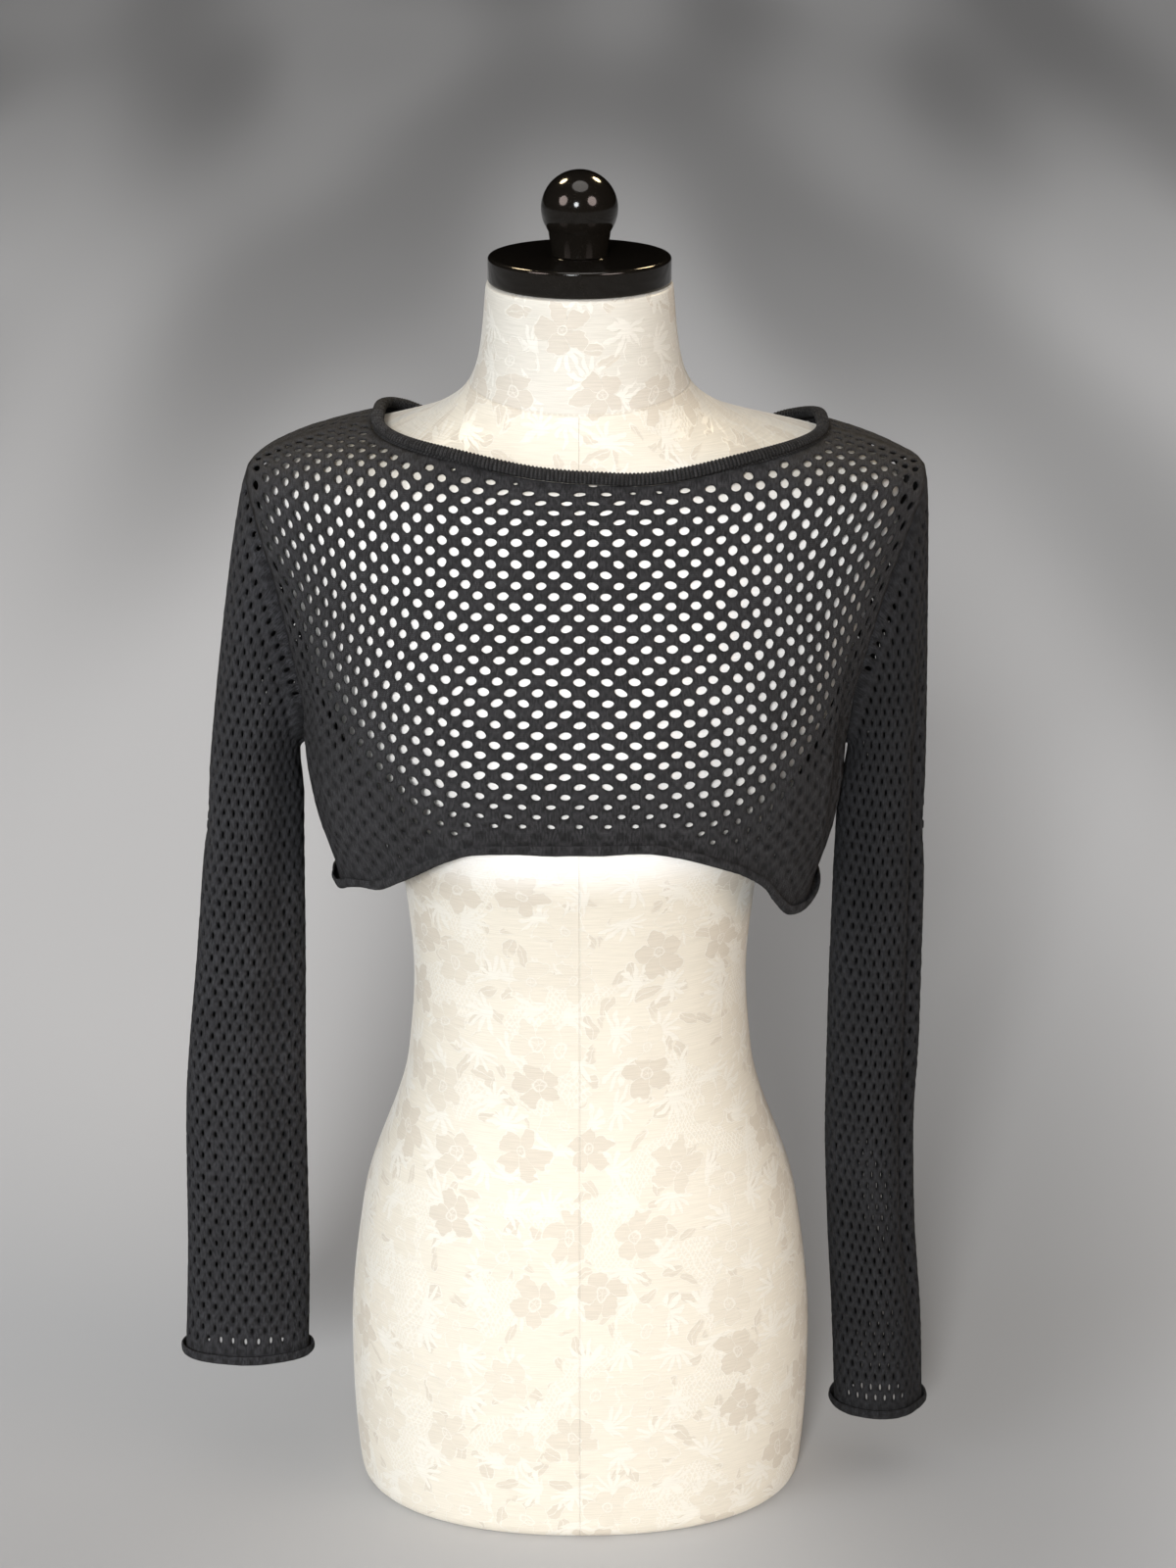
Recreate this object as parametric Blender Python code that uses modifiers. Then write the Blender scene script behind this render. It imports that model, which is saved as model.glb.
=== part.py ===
"""Knit crop top on a limbless dress form: the form's torso, cap and finial, and the five knitted pieces.

Metres, +Z up. The origin is the middle of the form's flat underside. The front faces -Y, and "left" is the
side at -X, which a viewer in front sees on the left.
"""
import math

import bmesh
import bpy
import numpy as np

# ---- Driving dimensions
WALL = 0.0016           # thickness of the knit
SEAM_GAP = 0.0003       # between two pieces sewn edge to edge
ROUNDNESS = 2.2         # exponent of the body sections: 2 is an ellipse, more is squarer
SECTION_FLATNESS = 0.72  # depth of a knit body section over its width, for spacing the columns
GRADIENT_STEP = 0.0002  # to either side of a point, for the surface's direction there

FORM_HEIGHT = 0.779     # underside to the top of the covered neck
CAP_RADIUS = 0.0547
CAP_HEIGHT = 0.016
CAP_ROUNDING = 0.0022
FINIAL_RADIUS = 0.0229  # the ball
FINIAL_FOOT = 0.0162    # radius of its flat foot
FINIAL_HEIGHT = 0.0505
FINIAL_TAPER = -35      # where the ball runs out straight to its foot, in degrees below its middle

# The covered torso: how far each level section reaches from the middle
FORM_SECTIONS = (
    # height, half width, front, back
    (0.000, 0.138, 0.104, 0.108),
    (0.005, 0.142, 0.108, 0.112),
    (0.100, 0.147, 0.112, 0.118),
    (0.190, 0.138, 0.103, 0.108),
    (0.290, 0.108, 0.083, 0.082),
    (0.345, 0.104, 0.083, 0.080),
    (0.400, 0.1085, 0.092, 0.083),
    (0.440, 0.1185, 0.103, 0.088),
    (0.470, 0.1320, 0.1125, 0.092),
    (0.494, 0.1420, 0.1175, 0.095),
    (0.520, 0.1535, 0.1192, 0.098),
    (0.560, 0.1680, 0.1143, 0.100),
    (0.600, 0.1815, 0.1083, 0.100),
    (0.640, 0.1930, 0.1023, 0.0968),
    (0.660, 0.1932, 0.0970, 0.0910),
    (0.672, 0.1845, 0.0933, 0.0860),
    (0.680, 0.1690, 0.0902, 0.0830),
    (0.686, 0.1506, 0.0877, 0.0806),
    (0.691, 0.1268, 0.0845, 0.0776),
    (0.695, 0.109, 0.0815, 0.075),
    (0.700, 0.092, 0.078, 0.071),
    (0.706, 0.080, 0.074, 0.068),
    (0.711, 0.073, 0.071, 0.066),
    (0.717, 0.0675, 0.0675, 0.064),
    (0.729, 0.062, 0.063, 0.061),
    (0.748, 0.0585, 0.060, 0.059),
    (0.779, 0.0558, 0.058, 0.057),
)

# The knit body's middle layer, as if its armholes and neck were closed. It lies on the form above the bust
# and hangs free below it.
KNIT_SECTIONS = (
    # height, left, right, front, back
    (0.385, 0.1450, 0.1410, 0.1020, 0.098),
    (0.405, 0.1475, 0.1440, 0.1050, 0.099),
    (0.430, 0.1540, 0.1515, 0.1100, 0.101),
    (0.455, 0.1610, 0.1570, 0.1150, 0.102),
    (0.480, 0.1650, 0.1595, 0.1200, 0.102),
    (0.500, 0.1670, 0.1610, 0.1215, 0.101),
    (0.530, 0.1720, 0.1690, 0.1215, 0.101),
    (0.560, 0.1800, 0.1790, 0.1165, 0.102),
    (0.600, 0.1900, 0.1920, 0.1105, 0.102),
    (0.640, 0.1990, 0.2040, 0.1045, 0.099),
    (0.660, 0.2010, 0.2080, 0.0995, 0.094),
    (0.668, 0.1990, 0.2070, 0.0970, 0.092),
    (0.675, 0.1915, 0.1960, 0.0955, 0.091),
    (0.683, 0.1755, 0.1775, 0.0932, 0.088),
    (0.689, 0.1555, 0.1565, 0.0908, 0.085),
    (0.694, 0.1310, 0.1320, 0.0877, 0.082),
    (0.698, 0.1120, 0.1120, 0.0845, 0.078),
    (0.704, 0.0940, 0.0940, 0.0795, 0.073),
)

UNDERARM = 0.494        # height of each armhole's lowest point
SHOULDER_TIP = 0.668    # and of its highest
ARMHOLE_HALF = 0.040    # half its width from front to back
ARMHOLE_MIDDLE = (UNDERARM + SHOULDER_TIP) / 2
ARMHOLE_RISE = (SHOULDER_TIP - UNDERARM) / 2

NECK_MIDDLE = 0.0125    # the neckline sits a little to the right
NECK_HALF = 0.137
NECK_DEPTH = 0.0945     # from the middle plane forward to the front neckline
NECK_SHAPE = (2.6, 2.25)    # exponents of the front neckline's left half and its right
NAPE_HEIGHT = 0.650     # of the back neckline, which the shoulders hide from the front
NAPE_SHAPE = 5.0        # how squarely it turns up to its ends
BAND_WALL = 0.0018      # the neckband's rib
BAND_STAND = 0.0038     # from the seam to the middle of its curl
BAND_HALF = 0.0031      # half width of the curl
BAND_RISE = 0.0023      # and half its height above the knit
BAND_TURN = 165         # where the curl ends, in degrees from level

# Lowest points of the rolled hem
HEM_LINES = {
    # share of the way to the side seam, height
    "front": ((-1.0, 0.404), (-0.9, 0.417), (-0.78, 0.423), (-0.6, 0.440), (-0.48, 0.451), (-0.3, 0.459),
              (0.0, 0.4605), (0.24, 0.4605), (0.4, 0.454), (0.6, 0.440), (0.72, 0.427), (0.8, 0.412),
              (0.88, 0.400), (0.95, 0.398), (1.0, 0.400)),
    "back": ((-1.0, 0.404), (-0.6, 0.407), (0.0, 0.405), (0.6, 0.402), (1.0, 0.400)),
}
ROLL_RADIUS = 0.0042    # of the middle layer, where the hem curls outward
ROLL_TURN = math.radians(205)
CUFF_ROLL = 0.0040

# The sleeves' middle layer below the underarm, where they hang as flattened tubes
SLEEVE_SECTIONS = {
    # height, outer x, inner x, half depth, share of the folds
    "left": ((0.078, -0.2545, -0.1765, 0.0205, 0.2),
             (0.160, -0.2510, -0.1745, 0.0210, 0.5),
             (0.242, -0.2495, -0.1745, 0.0220, 0.8),
             (0.362, -0.2385, -0.1725, 0.0265, 1.0),
             (0.440, -0.2312, -0.1718, 0.0285, 0.8),
             (0.494, -0.2262, -0.1692, 0.0300, 0.3)),
    "right": ((0.042, 0.2215, 0.1660, 0.0250, 0.2),
              (0.098, 0.2195, 0.1635, 0.0260, 0.4),
              (0.180, 0.2132, 0.1585, 0.0270, 0.8),
              (0.242, 0.2113, 0.1563, 0.0275, 0.9),
              (0.300, 0.2134, 0.1565, 0.0280, 1.0),
              (0.390, 0.2137, 0.1580, 0.0290, 1.0),
              (0.440, 0.2135, 0.1595, 0.0300, 0.9),
              (0.494, 0.2122, 0.1628, 0.0310, 0.7)),
}
# Lengthwise folds. A place is the angle round the tube: 0 outer edge, 90 front, 180 inner edge, 270 back.
SLEEVE_FOLDS = {
    # place, half width in degrees, depth
    "left": ((68, 20, 0.0030), (128, 22, 0.0036), (250, 26, 0.0040)),
    "right": ((32, 17, 0.0085), (118, 24, 0.0030), (262, 26, 0.0040)),
}
SLEEVE_JOIN = 0.454     # height where the sleeve's cap runs out into its tube
SLEEVE_LEAD = 0.014     # how far the cap's columns hold their direction from the armhole, at most
LEAD_SHARE = 0.3        # and that as a share of the column, for the short ones at the underarm
FALL_SHARE = 0.5        # share of the column that already bends toward the tube's fall

# How finely each piece is meshed
SHOULDER_COLUMNS = 6    # of a panel, on each side of the neckline
NECK_COLUMNS = 24       # of a panel, along the neckline
NECK_SPREAD = 4.0       # exponent that spaces those columns evenly round the corners
ARMHOLE_ROWS = 14       # of a panel, down to the underarm, and half the columns of a sleeve
ROW_CROWDING = 1.7      # more than 1 draws those rows together toward the shoulder
SIDE_ROWS = 4           # of a panel, from there to the hem
SLEEVE_CAP_ROWS = 6
CAP_CROWDING = 1.4      # as ROW_CROWDING, for a sleeve's rows near the armhole
SLEEVE_TUBE_ROWS = 11
ROLL_ROWS = 4
BAND_ROWS = 6
CAP_SEGMENTS = 36
FINIAL_SEGMENTS = 24
TORSO_COLUMNS = 28
TORSO_RINGS = (0.0, 0.005, 0.055, 0.110, 0.160, 0.210, 0.255, 0.300, 0.345, 0.390, 0.435, 0.470, 0.500, 0.525,
               0.560, 0.600, 0.635, 0.655, 0.667, 0.675, 0.682, 0.688, 0.693, 0.699, 0.706, 0.713, 0.725,
               0.745, FORM_HEIGHT)
CURVE_SAMPLES = 400     # points along a curve that is measured or halved
HALVINGS = 40


# ---- Smooth tables
def smooth(places, values):
    """A curve through the table that never overshoots: a monotone cubic."""
    xs, ys = np.asarray(places, float), np.asarray(values, float)
    steps = np.diff(xs)
    slopes = np.diff(ys) / steps
    tangents = np.concatenate(([slopes[0]], np.zeros(len(xs) - 2), [slopes[-1]]))
    for i in range(1, len(xs) - 1):
        if slopes[i - 1] * slopes[i] > 0:
            before, after = 2 * steps[i] + steps[i - 1], steps[i] + 2 * steps[i - 1]
            tangents[i] = (before + after) / (before / slopes[i - 1] + after / slopes[i])

    def read(x):
        x = np.clip(x, xs[0], xs[-1])
        i = np.clip(np.searchsorted(xs, x) - 1, 0, len(steps) - 1)
        t = (x - xs[i]) / steps[i]
        value = ys[i] * (1 + 2 * t) * (1 - t) ** 2 + ys[i + 1] * t * t * (3 - 2 * t)
        return value + steps[i] * (tangents[i] * t * (1 - t) ** 2 + tangents[i + 1] * t * t * (t - 1))

    return read


def columns_of(table):
    """One smooth curve for each column of a table, along its first column."""
    rows = np.array(table)
    return [smooth(rows[:, 0], rows[:, i]) for i in range(1, rows.shape[1])]


form_half, form_front, form_back = columns_of(FORM_SECTIONS)
knit_left, knit_right, knit_front, knit_back = columns_of(KNIT_SECTIONS)
knit_depth = {"front": knit_front, "back": knit_back}
hem_height = {face: columns_of(table)[0] for face, table in HEM_LINES.items()}
sleeve_tables = {name: columns_of(table) for name, table in SLEEVE_SECTIONS.items()}


def rounded(share, shape=ROUNDNESS):
    """The other coordinate of a unit superellipse."""
    return (1 - np.clip(np.abs(share), 0, 1) ** shape) ** (1 / shape)


def lerp(a, b, t):
    return a + (b - a) * t


def ease(t):
    t = np.clip(t, 0, 1)
    return t * t * (3 - 2 * t)


def unit(vectors):
    return vectors / np.maximum(np.linalg.norm(vectors, axis=-1, keepdims=True), 1e-12)


# ---- The knit body's surface
def path_shares(path):
    """How far along a path of points each of them lies, from 0 to 1."""
    length = np.concatenate(([0], np.cumsum(np.linalg.norm(np.diff(path, axis=0), axis=1))))
    return length / length[-1]


def spread_of_columns():
    """How far out the knit's columns lie, evenly spaced along a section's quarter."""
    angle = np.linspace(0, math.pi / 2, CURVE_SAMPLES)
    x = np.sin(angle) ** (2 / ROUNDNESS)
    y = SECTION_FLATNESS * np.cos(angle) ** (2 / ROUNDNESS)
    return path_shares(np.stack([x, y], axis=1)), x


SPREAD = spread_of_columns()


def reach(side, z):
    """How far the closed knit body reaches at a height, to the left (side -1) or the right (side 1)."""
    return np.where(side < 0, knit_left(z), knit_right(z))


def armhole_depth(z):
    """How far an armhole's edge lies in front of its middle, and behind it, at a height."""
    return ARMHOLE_HALF * np.sqrt(np.clip(1 - ((z - ARMHOLE_MIDDLE) / ARMHOLE_RISE) ** 2, 0, 1))


def panel_edge(face, side, z):
    """The x of a panel's side seam and, above the underarm, of its armhole."""
    return side * reach(side, z) * rounded(armhole_depth(z) / knit_depth[face](z))


def column_x(face, p, z):
    """The x at each height of the knit column that lies a share p of the way to the side, -1 to 1."""
    side = -1.0 if p < 0 else 1.0
    hanging = ease((SHOULDER_TIP - z) / (SHOULDER_TIP - UNDERARM))
    share = lerp(abs(p), np.interp(abs(p), *SPREAD), hanging)
    return panel_edge(face, side, np.minimum(z, SHOULDER_TIP)) * share


def column_depth(face, p, z):
    """How far in front of the middle plane the column lies, or behind it."""
    if abs(p) == 1:
        return np.maximum(armhole_depth(z), SEAM_GAP / 2)
    return knit_depth[face](z) * rounded(column_x(face, p, z) / reach(p, z))


def neckline_depth(face, x):
    """The plan outline of the neckline at x and, beyond it, of the shoulder seam."""
    share = (x - NECK_MIDDLE) / NECK_HALF
    if face == "front":
        opening = NECK_DEPTH * rounded(share, np.where(share < 0, *NECK_SHAPE))
    else:
        opening = knit_back(NAPE_HEIGHT) * rounded(x / reach(x, NAPE_HEIGHT)) * rounded(share, NAPE_SHAPE)
    return np.maximum(opening, SEAM_GAP / 2)


def bisect(inside, low, high):
    """The last heights between low and high that are inside, for an array of columns or points."""
    for _ in range(HALVINGS):
        middle = (low + high) / 2
        within = inside(middle)
        low, high = np.where(within, middle, low), np.where(within, high, middle)
    return low


def column_top(face, p):
    """The height at which a column meets the neckline, the shoulder seam or the shoulder's tip."""
    if abs(p) == 1:
        return SHOULDER_TIP
    return bisect(lambda z: column_depth(face, p, z) > neckline_depth(face, column_x(face, p, z)),
                  UNDERARM, KNIT_SECTIONS[-1][0])


def column_stretch(face, p, top, bottom, shares):
    """Points of one column between two heights, at shares of the way along it."""
    z = top - (top - bottom) * np.linspace(0, 1, CURVE_SAMPLES) ** 2
    y = column_depth(face, p, z) * (-1 if face == "front" else 1)
    path = np.stack([column_x(face, p, z), y, z], axis=1)
    return np.stack([np.interp(shares, path_shares(path), path[:, i]) for i in range(3)], axis=1)


def panel_column(face, p):
    """One column's points from its top to the underarm's height, and on to where the hem's roll starts. The
    rows at the armhole's edge lie at even angles round it."""
    share = math.copysign(np.interp(abs(p), *SPREAD), p)
    bottom = hem_height[face](share) + ROLL_RADIUS + WALL / 2
    angles = np.linspace(0, math.pi, ARMHOLE_ROWS + 1)
    round_armhole = np.stack([ARMHOLE_HALF * np.sin(angles), ARMHOLE_RISE * np.cos(angles)], axis=1)
    crowded = np.linspace(0, 1, ARMHOLE_ROWS + 1) ** ROW_CROWDING
    shares = lerp(crowded, path_shares(round_armhole), abs(p) ** 3)
    above = column_stretch(face, p, column_top(face, p), UNDERARM, shares)
    below = column_stretch(face, p, UNDERARM, bottom, np.linspace(0, 1, SIDE_ROWS + 1))
    return np.vstack([above, below[1:]])


def panel_grid(face):
    """Rows of points of a panel's middle layer, each from left to right. The columns below the neckline lie
    at even angles round it, and one starts at each of its ends, so that the neckband can share its points."""
    turn = np.cos(np.linspace(math.pi, 0, NECK_COLUMNS + 1))
    x = NECK_MIDDLE + NECK_HALF * np.sign(turn) * np.abs(turn) ** (2 / NECK_SPREAD)
    neck = x / reach(x, SHOULDER_TIP)
    shares = np.concatenate([np.linspace(-1, neck[0], SHOULDER_COLUMNS + 1), neck[1:-1],
                             np.linspace(neck[-1], 1, SHOULDER_COLUMNS + 1)])
    return np.stack([panel_column(face, p) for p in shares], axis=1)


def joined(front_edge, back_edge):
    """A closed ring along a front edge and back along the back edge, which share their two ends."""
    ring = np.vstack([front_edge, back_edge[-2:0:-1]])
    ring[0] = (front_edge[0] + back_edge[0]) / 2
    ring[len(front_edge) - 1] = (front_edge[-1] + back_edge[-1]) / 2
    return ring


def knit_normals(points):
    """Outward directions of the closed knit body at points on it."""
    def level(x, y, z):
        deep = np.where(y < 0, knit_front(z), knit_back(z))
        return (np.abs(x) / reach(x, z)) ** ROUNDNESS + (np.abs(y) / deep) ** ROUNDNESS

    slopes = []
    for axis in np.eye(3) * GRADIENT_STEP:
        slopes.append(level(*(points + axis).T) - level(*(points - axis).T))
    return unit(np.stack(slopes, axis=1))


def along(ring):
    """Directions along a closed ring of points."""
    return unit(np.roll(ring, -1, axis=0) - np.roll(ring, 1, axis=0))


def grid_normals(rows):
    """Outward directions at closed rings of points that run downward, and to the right seen from outside."""
    down = np.gradient(rows, axis=0)
    right = np.roll(rows, -1, axis=1) - np.roll(rows, 1, axis=1)
    return unit(np.cross(down, right))


def rolled(edge, down, outward, radius):
    """Rows of points that carry an edge on round its outward curl, and their outward directions."""
    rows, normals = [], []
    for angle in np.linspace(0, ROLL_TURN, ROLL_ROWS + 1)[1:]:
        rows.append(edge + radius * (math.sin(angle) * down + (1 - math.cos(angle)) * outward))
        normals.append(math.cos(angle) * outward - math.sin(angle) * down)
    return rows, normals


# ---- Meshes
def add_object(name, bm, material, collection):
    mesh = bpy.data.meshes.new(name)
    bm.to_mesh(mesh)
    bm.free()
    mesh.materials.append(material)
    mesh.shade_smooth()
    mesh.set_sharp_from_angle(angle=math.radians(50))
    obj = bpy.data.objects.new(name, mesh)
    collection.objects.link(obj)
    return obj


def corners(bm, rows):
    """The vertices of rows of points."""
    return [[bm.verts.new(point) for point in row] for row in rows]


def skin(bm, rows, closed):
    """Faces between rows of vertices. They face the side from which the rows run down and to the right."""
    for upper, lower in zip(rows, rows[1:]):
        for i in range(len(upper) if closed else len(upper) - 1):
            j = (i + 1) % len(upper)
            bm.faces.new((upper[i], lower[i], lower[j], upper[j]))


def knitted(name, rows, normals, closed, thickness, material, collection):
    """A knit wall with half its thickness to each side of the rows of points. The outward directions are
    given, so that two pieces keep their gap all along a seam."""
    rows, offsets = np.array(rows), np.array(normals) * thickness / 2
    bm = bmesh.new()
    outer, inner = corners(bm, rows + offsets), corners(bm, rows - offsets)
    skin(bm, outer, closed)
    skin(bm, [row[::-1] for row in inner], closed)
    skin(bm, [inner[0], outer[0]], closed)
    skin(bm, [outer[-1], inner[-1]], closed)
    if not closed:
        skin(bm, [[row[0] for row in outer], [row[0] for row in inner]], closed)
        skin(bm, [[row[-1] for row in inner], [row[-1] for row in outer]], closed)
    add_object(name, bm, material, collection)


def turned(name, profile, segments, material, collection):
    """A solid of revolution about Z from (radius, height) points, listed from the top down."""
    bm = bmesh.new()
    points = [bm.verts.new((radius, 0, height)) for radius, height in profile]
    for a, b in zip(points, points[1:]):
        bm.edges.new((a, b))
    obj = add_object(name, bm, material, collection)
    screw = obj.modifiers.new("Turn", "SCREW")
    screw.steps = screw.render_steps = segments
    screw.use_merge_vertices = True
    screw.merge_threshold = 0.00001


def arc(middle, radius, start, end, count):
    """(radius, height) points round a circle on the axis side, with angles in degrees up from level."""
    angles = np.radians(np.linspace(start, end, count))
    return [(middle[0] + radius * math.cos(a), middle[1] + radius * math.sin(a)) for a in angles]


# ---- The dress form
def torso_ring(z):
    angles = np.linspace(0, 2 * math.pi, TORSO_COLUMNS, endpoint=False)
    sine, cosine = np.sin(angles), np.cos(angles)
    depth = np.where(cosine > 0, form_front(z), form_back(z))
    x = form_half(z) * np.sign(sine) * np.abs(sine) ** (2 / ROUNDNESS)
    y = -depth * np.sign(cosine) * np.abs(cosine) ** (2 / ROUNDNESS)
    return [(a, b, z) for a, b in zip(x, y)]


def build_torso(material, collection):
    """The covered torso, closed from its flat underside to the top of the neck."""
    bm = bmesh.new()
    rings = corners(bm, [torso_ring(z) for z in reversed(TORSO_RINGS)])
    skin(bm, rings, closed=True)
    bm.faces.new(rings[0])
    bm.faces.new(rings[-1][::-1])
    add_object("form_torso", bm, material, collection)


def build_cap(material, collection):
    """The lacquered disc on the neck, with rounded edges."""
    bottom = FORM_HEIGHT + SEAM_GAP
    top = bottom + CAP_HEIGHT
    edge = CAP_RADIUS - CAP_ROUNDING
    profile = [(0, top)]
    profile += arc((edge, top - CAP_ROUNDING), CAP_ROUNDING, 90, 0, 4)
    profile += arc((edge, bottom + CAP_ROUNDING), CAP_ROUNDING, 0, -90, 4)
    profile += [(0, bottom)]
    turned("neck_cap", profile, CAP_SEGMENTS, material, collection)


def build_finial(material, collection):
    """The ball, drawn in below to a flat foot that stands on the cap."""
    foot = FORM_HEIGHT + CAP_HEIGHT + 2 * SEAM_GAP
    middle = foot + FINIAL_HEIGHT - FINIAL_RADIUS
    profile = [(0, foot + FINIAL_HEIGHT)]
    profile += arc((0, middle), FINIAL_RADIUS, 78, FINIAL_TAPER, 9)
    profile += [(FINIAL_FOOT, foot), (0, foot)]
    turned("finial", profile, FINIAL_SEGMENTS, material, collection)


# ---- The knit
def build_panel(face, grid, material, collection):
    """The front or the back, with shoulder seams, neckline, armholes, side seams and rolled hem."""
    rows = grid if face == "front" else grid[:, ::-1]
    normals = knit_normals(rows.reshape(-1, 3)).reshape(rows.shape)
    normals[np.abs(rows[:, :, 1]) < SEAM_GAP, 1] = 0
    normals = unit(normals)
    roll, roll_normals = rolled(rows[-1], unit(rows[-1] - rows[-2]), normals[-1], ROLL_RADIUS)
    knitted(face, [*rows, *roll], [*normals, *roll_normals], False, WALL, material, collection)


def sleeve_ring(name, z, angles):
    """A sleeve's middle layer at one height below the underarm."""
    outer, inner, depth, folding = [read(z) for read in sleeve_tables[name]]
    pinch = np.ones_like(angles)
    for place, width, deep in SLEEVE_FOLDS[name]:
        pinch -= folding * deep / depth * np.exp(-((np.degrees(angles) - place) / width) ** 2)
    x = (outer + inner) / 2 + (outer - inner) / 2 * np.cos(angles) * pinch
    return np.stack([x, -depth * np.sin(angles) * pinch, np.full_like(x, z)], axis=1)


def sleeve_cap(name, edge, angles):
    """Rings from the armhole's edge to the hanging tube. Each column leaves the edge, along the panel at
    the shoulder and square to it at the underarm, and bends down into the tube."""
    normal = knit_normals(edge)
    into = np.cross(normal, along(edge))
    into *= np.sign(np.sum(into * (edge.mean(axis=0) - edge), axis=1, keepdims=True))
    turn = np.abs(np.angle(np.exp(1j * angles)))[:, None] / 2
    lead = unit(np.cos(turn) * into + np.sin(turn) * normal)
    start = edge + (SEAM_GAP + WALL / 2 * np.sin(turn)) * into
    end = sleeve_ring(name, SLEEVE_JOIN, angles)
    fall = unit(sleeve_ring(name, SLEEVE_JOIN - SLEEVE_LEAD, angles) - end)
    length = np.linalg.norm(end - start, axis=1, keepdims=True)
    first = start + lead * np.minimum(SLEEVE_LEAD, LEAD_SHARE * length)
    second = end - fall * FALL_SHARE * length
    rings = []
    for t in np.linspace(0, 1, SLEEVE_CAP_ROWS + 1)[:-1] ** CAP_CROWDING:
        rings.append((1 - t) ** 3 * start + 3 * (1 - t) ** 2 * t * first
                     + 3 * (1 - t) * t ** 2 * second + t ** 3 * end)
    return rings


def build_sleeve(name, edge, material, collection):
    """A tube from the armhole's edge down to the rolled cuff."""
    angles = np.linspace(0, 2 * math.pi, len(edge), endpoint=False)
    bottom = SLEEVE_SECTIONS[name][0][0] + CUFF_ROLL + WALL / 2
    heights = np.linspace(SLEEVE_JOIN, bottom, SLEEVE_TUBE_ROWS + 1)
    rows = np.array(sleeve_cap(name, edge, angles) + [sleeve_ring(name, z, angles) for z in heights])
    if name == "right":
        rows = rows[:, ::-1]
    normals = grid_normals(rows)
    down = np.array([0.0, 0.0, -1.0])
    roll, roll_normals = rolled(rows[-1], down, np.cross(down, along(rows[-1])), CUFF_ROLL)
    knitted("sleeve_" + name, [*rows, *roll], [*normals, *roll_normals], True, WALL, material, collection)


def build_neckband(edge, material, collection):
    """The rib sewn all round the neckline's edge. It stands up from it and curls outward."""
    normal = knit_normals(edge)
    inward = unit(np.cross(normal, along(edge)))
    rows = [edge + SEAM_GAP * inward]
    for turn in np.radians(np.linspace(-90, BAND_TURN, BAND_ROWS)):
        toward_neck = BAND_STAND + BAND_HALF * math.cos(turn)
        rows.append(edge + toward_neck * inward + BAND_RISE * (1 + math.sin(turn)) * normal)
    rows = np.array(rows[::-1])
    knitted("neckband", rows, grid_normals(rows), True, BAND_WALL, material, collection)


def make_material(name, colour, roughness):
    material = bpy.data.materials.new(name)
    material.use_nodes = True
    bsdf = material.node_tree.nodes["Principled BSDF"]
    bsdf.inputs["Base Color"].default_value = (*colour, 1)
    bsdf.inputs["Roughness"].default_value = roughness
    bsdf.inputs["Metallic"].default_value = 0
    return material


def main():
    for obj in list(bpy.data.objects):
        bpy.data.objects.remove(obj)
    collection = bpy.data.collections.new("Knit crop top on a dress form")
    bpy.context.scene.collection.children.link(collection)
    knit = make_material("Charcoal knit", (0.030, 0.030, 0.034), 0.9)
    cover = make_material("Cream jacquard", (0.84, 0.80, 0.71), 0.6)
    lacquer = make_material("Black lacquer", (0.008, 0.007, 0.006), 0.12)
    build_torso(cover, collection)
    build_cap(lacquer, collection)
    build_finial(lacquer, collection)
    front, back = panel_grid("front"), panel_grid("back")
    build_panel("front", front, knit, collection)
    build_panel("back", back, knit, collection)
    for name, column in (("left", 0), ("right", -1)):
        armhole = joined(front[:ARMHOLE_ROWS + 1, column], back[:ARMHOLE_ROWS + 1, column])
        build_sleeve(name, armhole, knit, collection)
    neck = slice(SHOULDER_COLUMNS, SHOULDER_COLUMNS + NECK_COLUMNS + 1)
    build_neckband(joined(front[0, neck], back[0, neck]), knit, collection)


main()
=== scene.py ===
import math

import bmesh
import bpy
import numpy as np
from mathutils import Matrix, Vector
from mathutils.geometry import delaunay_2d_cdt


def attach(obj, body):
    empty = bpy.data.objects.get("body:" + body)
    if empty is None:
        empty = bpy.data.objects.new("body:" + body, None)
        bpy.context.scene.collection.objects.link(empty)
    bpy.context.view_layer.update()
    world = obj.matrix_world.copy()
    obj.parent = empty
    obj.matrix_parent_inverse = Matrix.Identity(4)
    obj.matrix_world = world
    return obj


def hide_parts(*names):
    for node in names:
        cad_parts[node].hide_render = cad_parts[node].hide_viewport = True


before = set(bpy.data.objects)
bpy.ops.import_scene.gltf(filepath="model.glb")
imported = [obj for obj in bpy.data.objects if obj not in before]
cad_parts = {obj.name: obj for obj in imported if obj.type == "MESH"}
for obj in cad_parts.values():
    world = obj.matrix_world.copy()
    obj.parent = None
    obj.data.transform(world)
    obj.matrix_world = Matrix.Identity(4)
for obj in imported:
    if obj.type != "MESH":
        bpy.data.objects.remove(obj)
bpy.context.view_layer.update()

# ---- The viewpoint
# The camera stands 2.5 m off in front of the chest and looks down on it a little.
AIM = (0.005, 0.0, 0.465)
VIEW_DISTANCE = 2.5
VIEW_DROP = math.radians(18.25)
FOCAL_LENGTH = 92.81    # in millimetres, for the film height
FILM_HEIGHT = 36

lens = bpy.data.cameras.new("viewpoint")
lens.sensor_fit = "VERTICAL"
lens.sensor_height = FILM_HEIGHT
lens.lens = FOCAL_LENGTH
camera = bpy.data.objects.new("viewpoint", lens)
camera.location = (AIM[0], AIM[1] - VIEW_DISTANCE * math.cos(VIEW_DROP),
                   AIM[2] + VIEW_DISTANCE * math.sin(VIEW_DROP))
camera.rotation_euler = (math.pi / 2 - VIEW_DROP, 0, 0)
bpy.context.scene.collection.objects.link(camera)
bpy.context.scene.camera = camera

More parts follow.
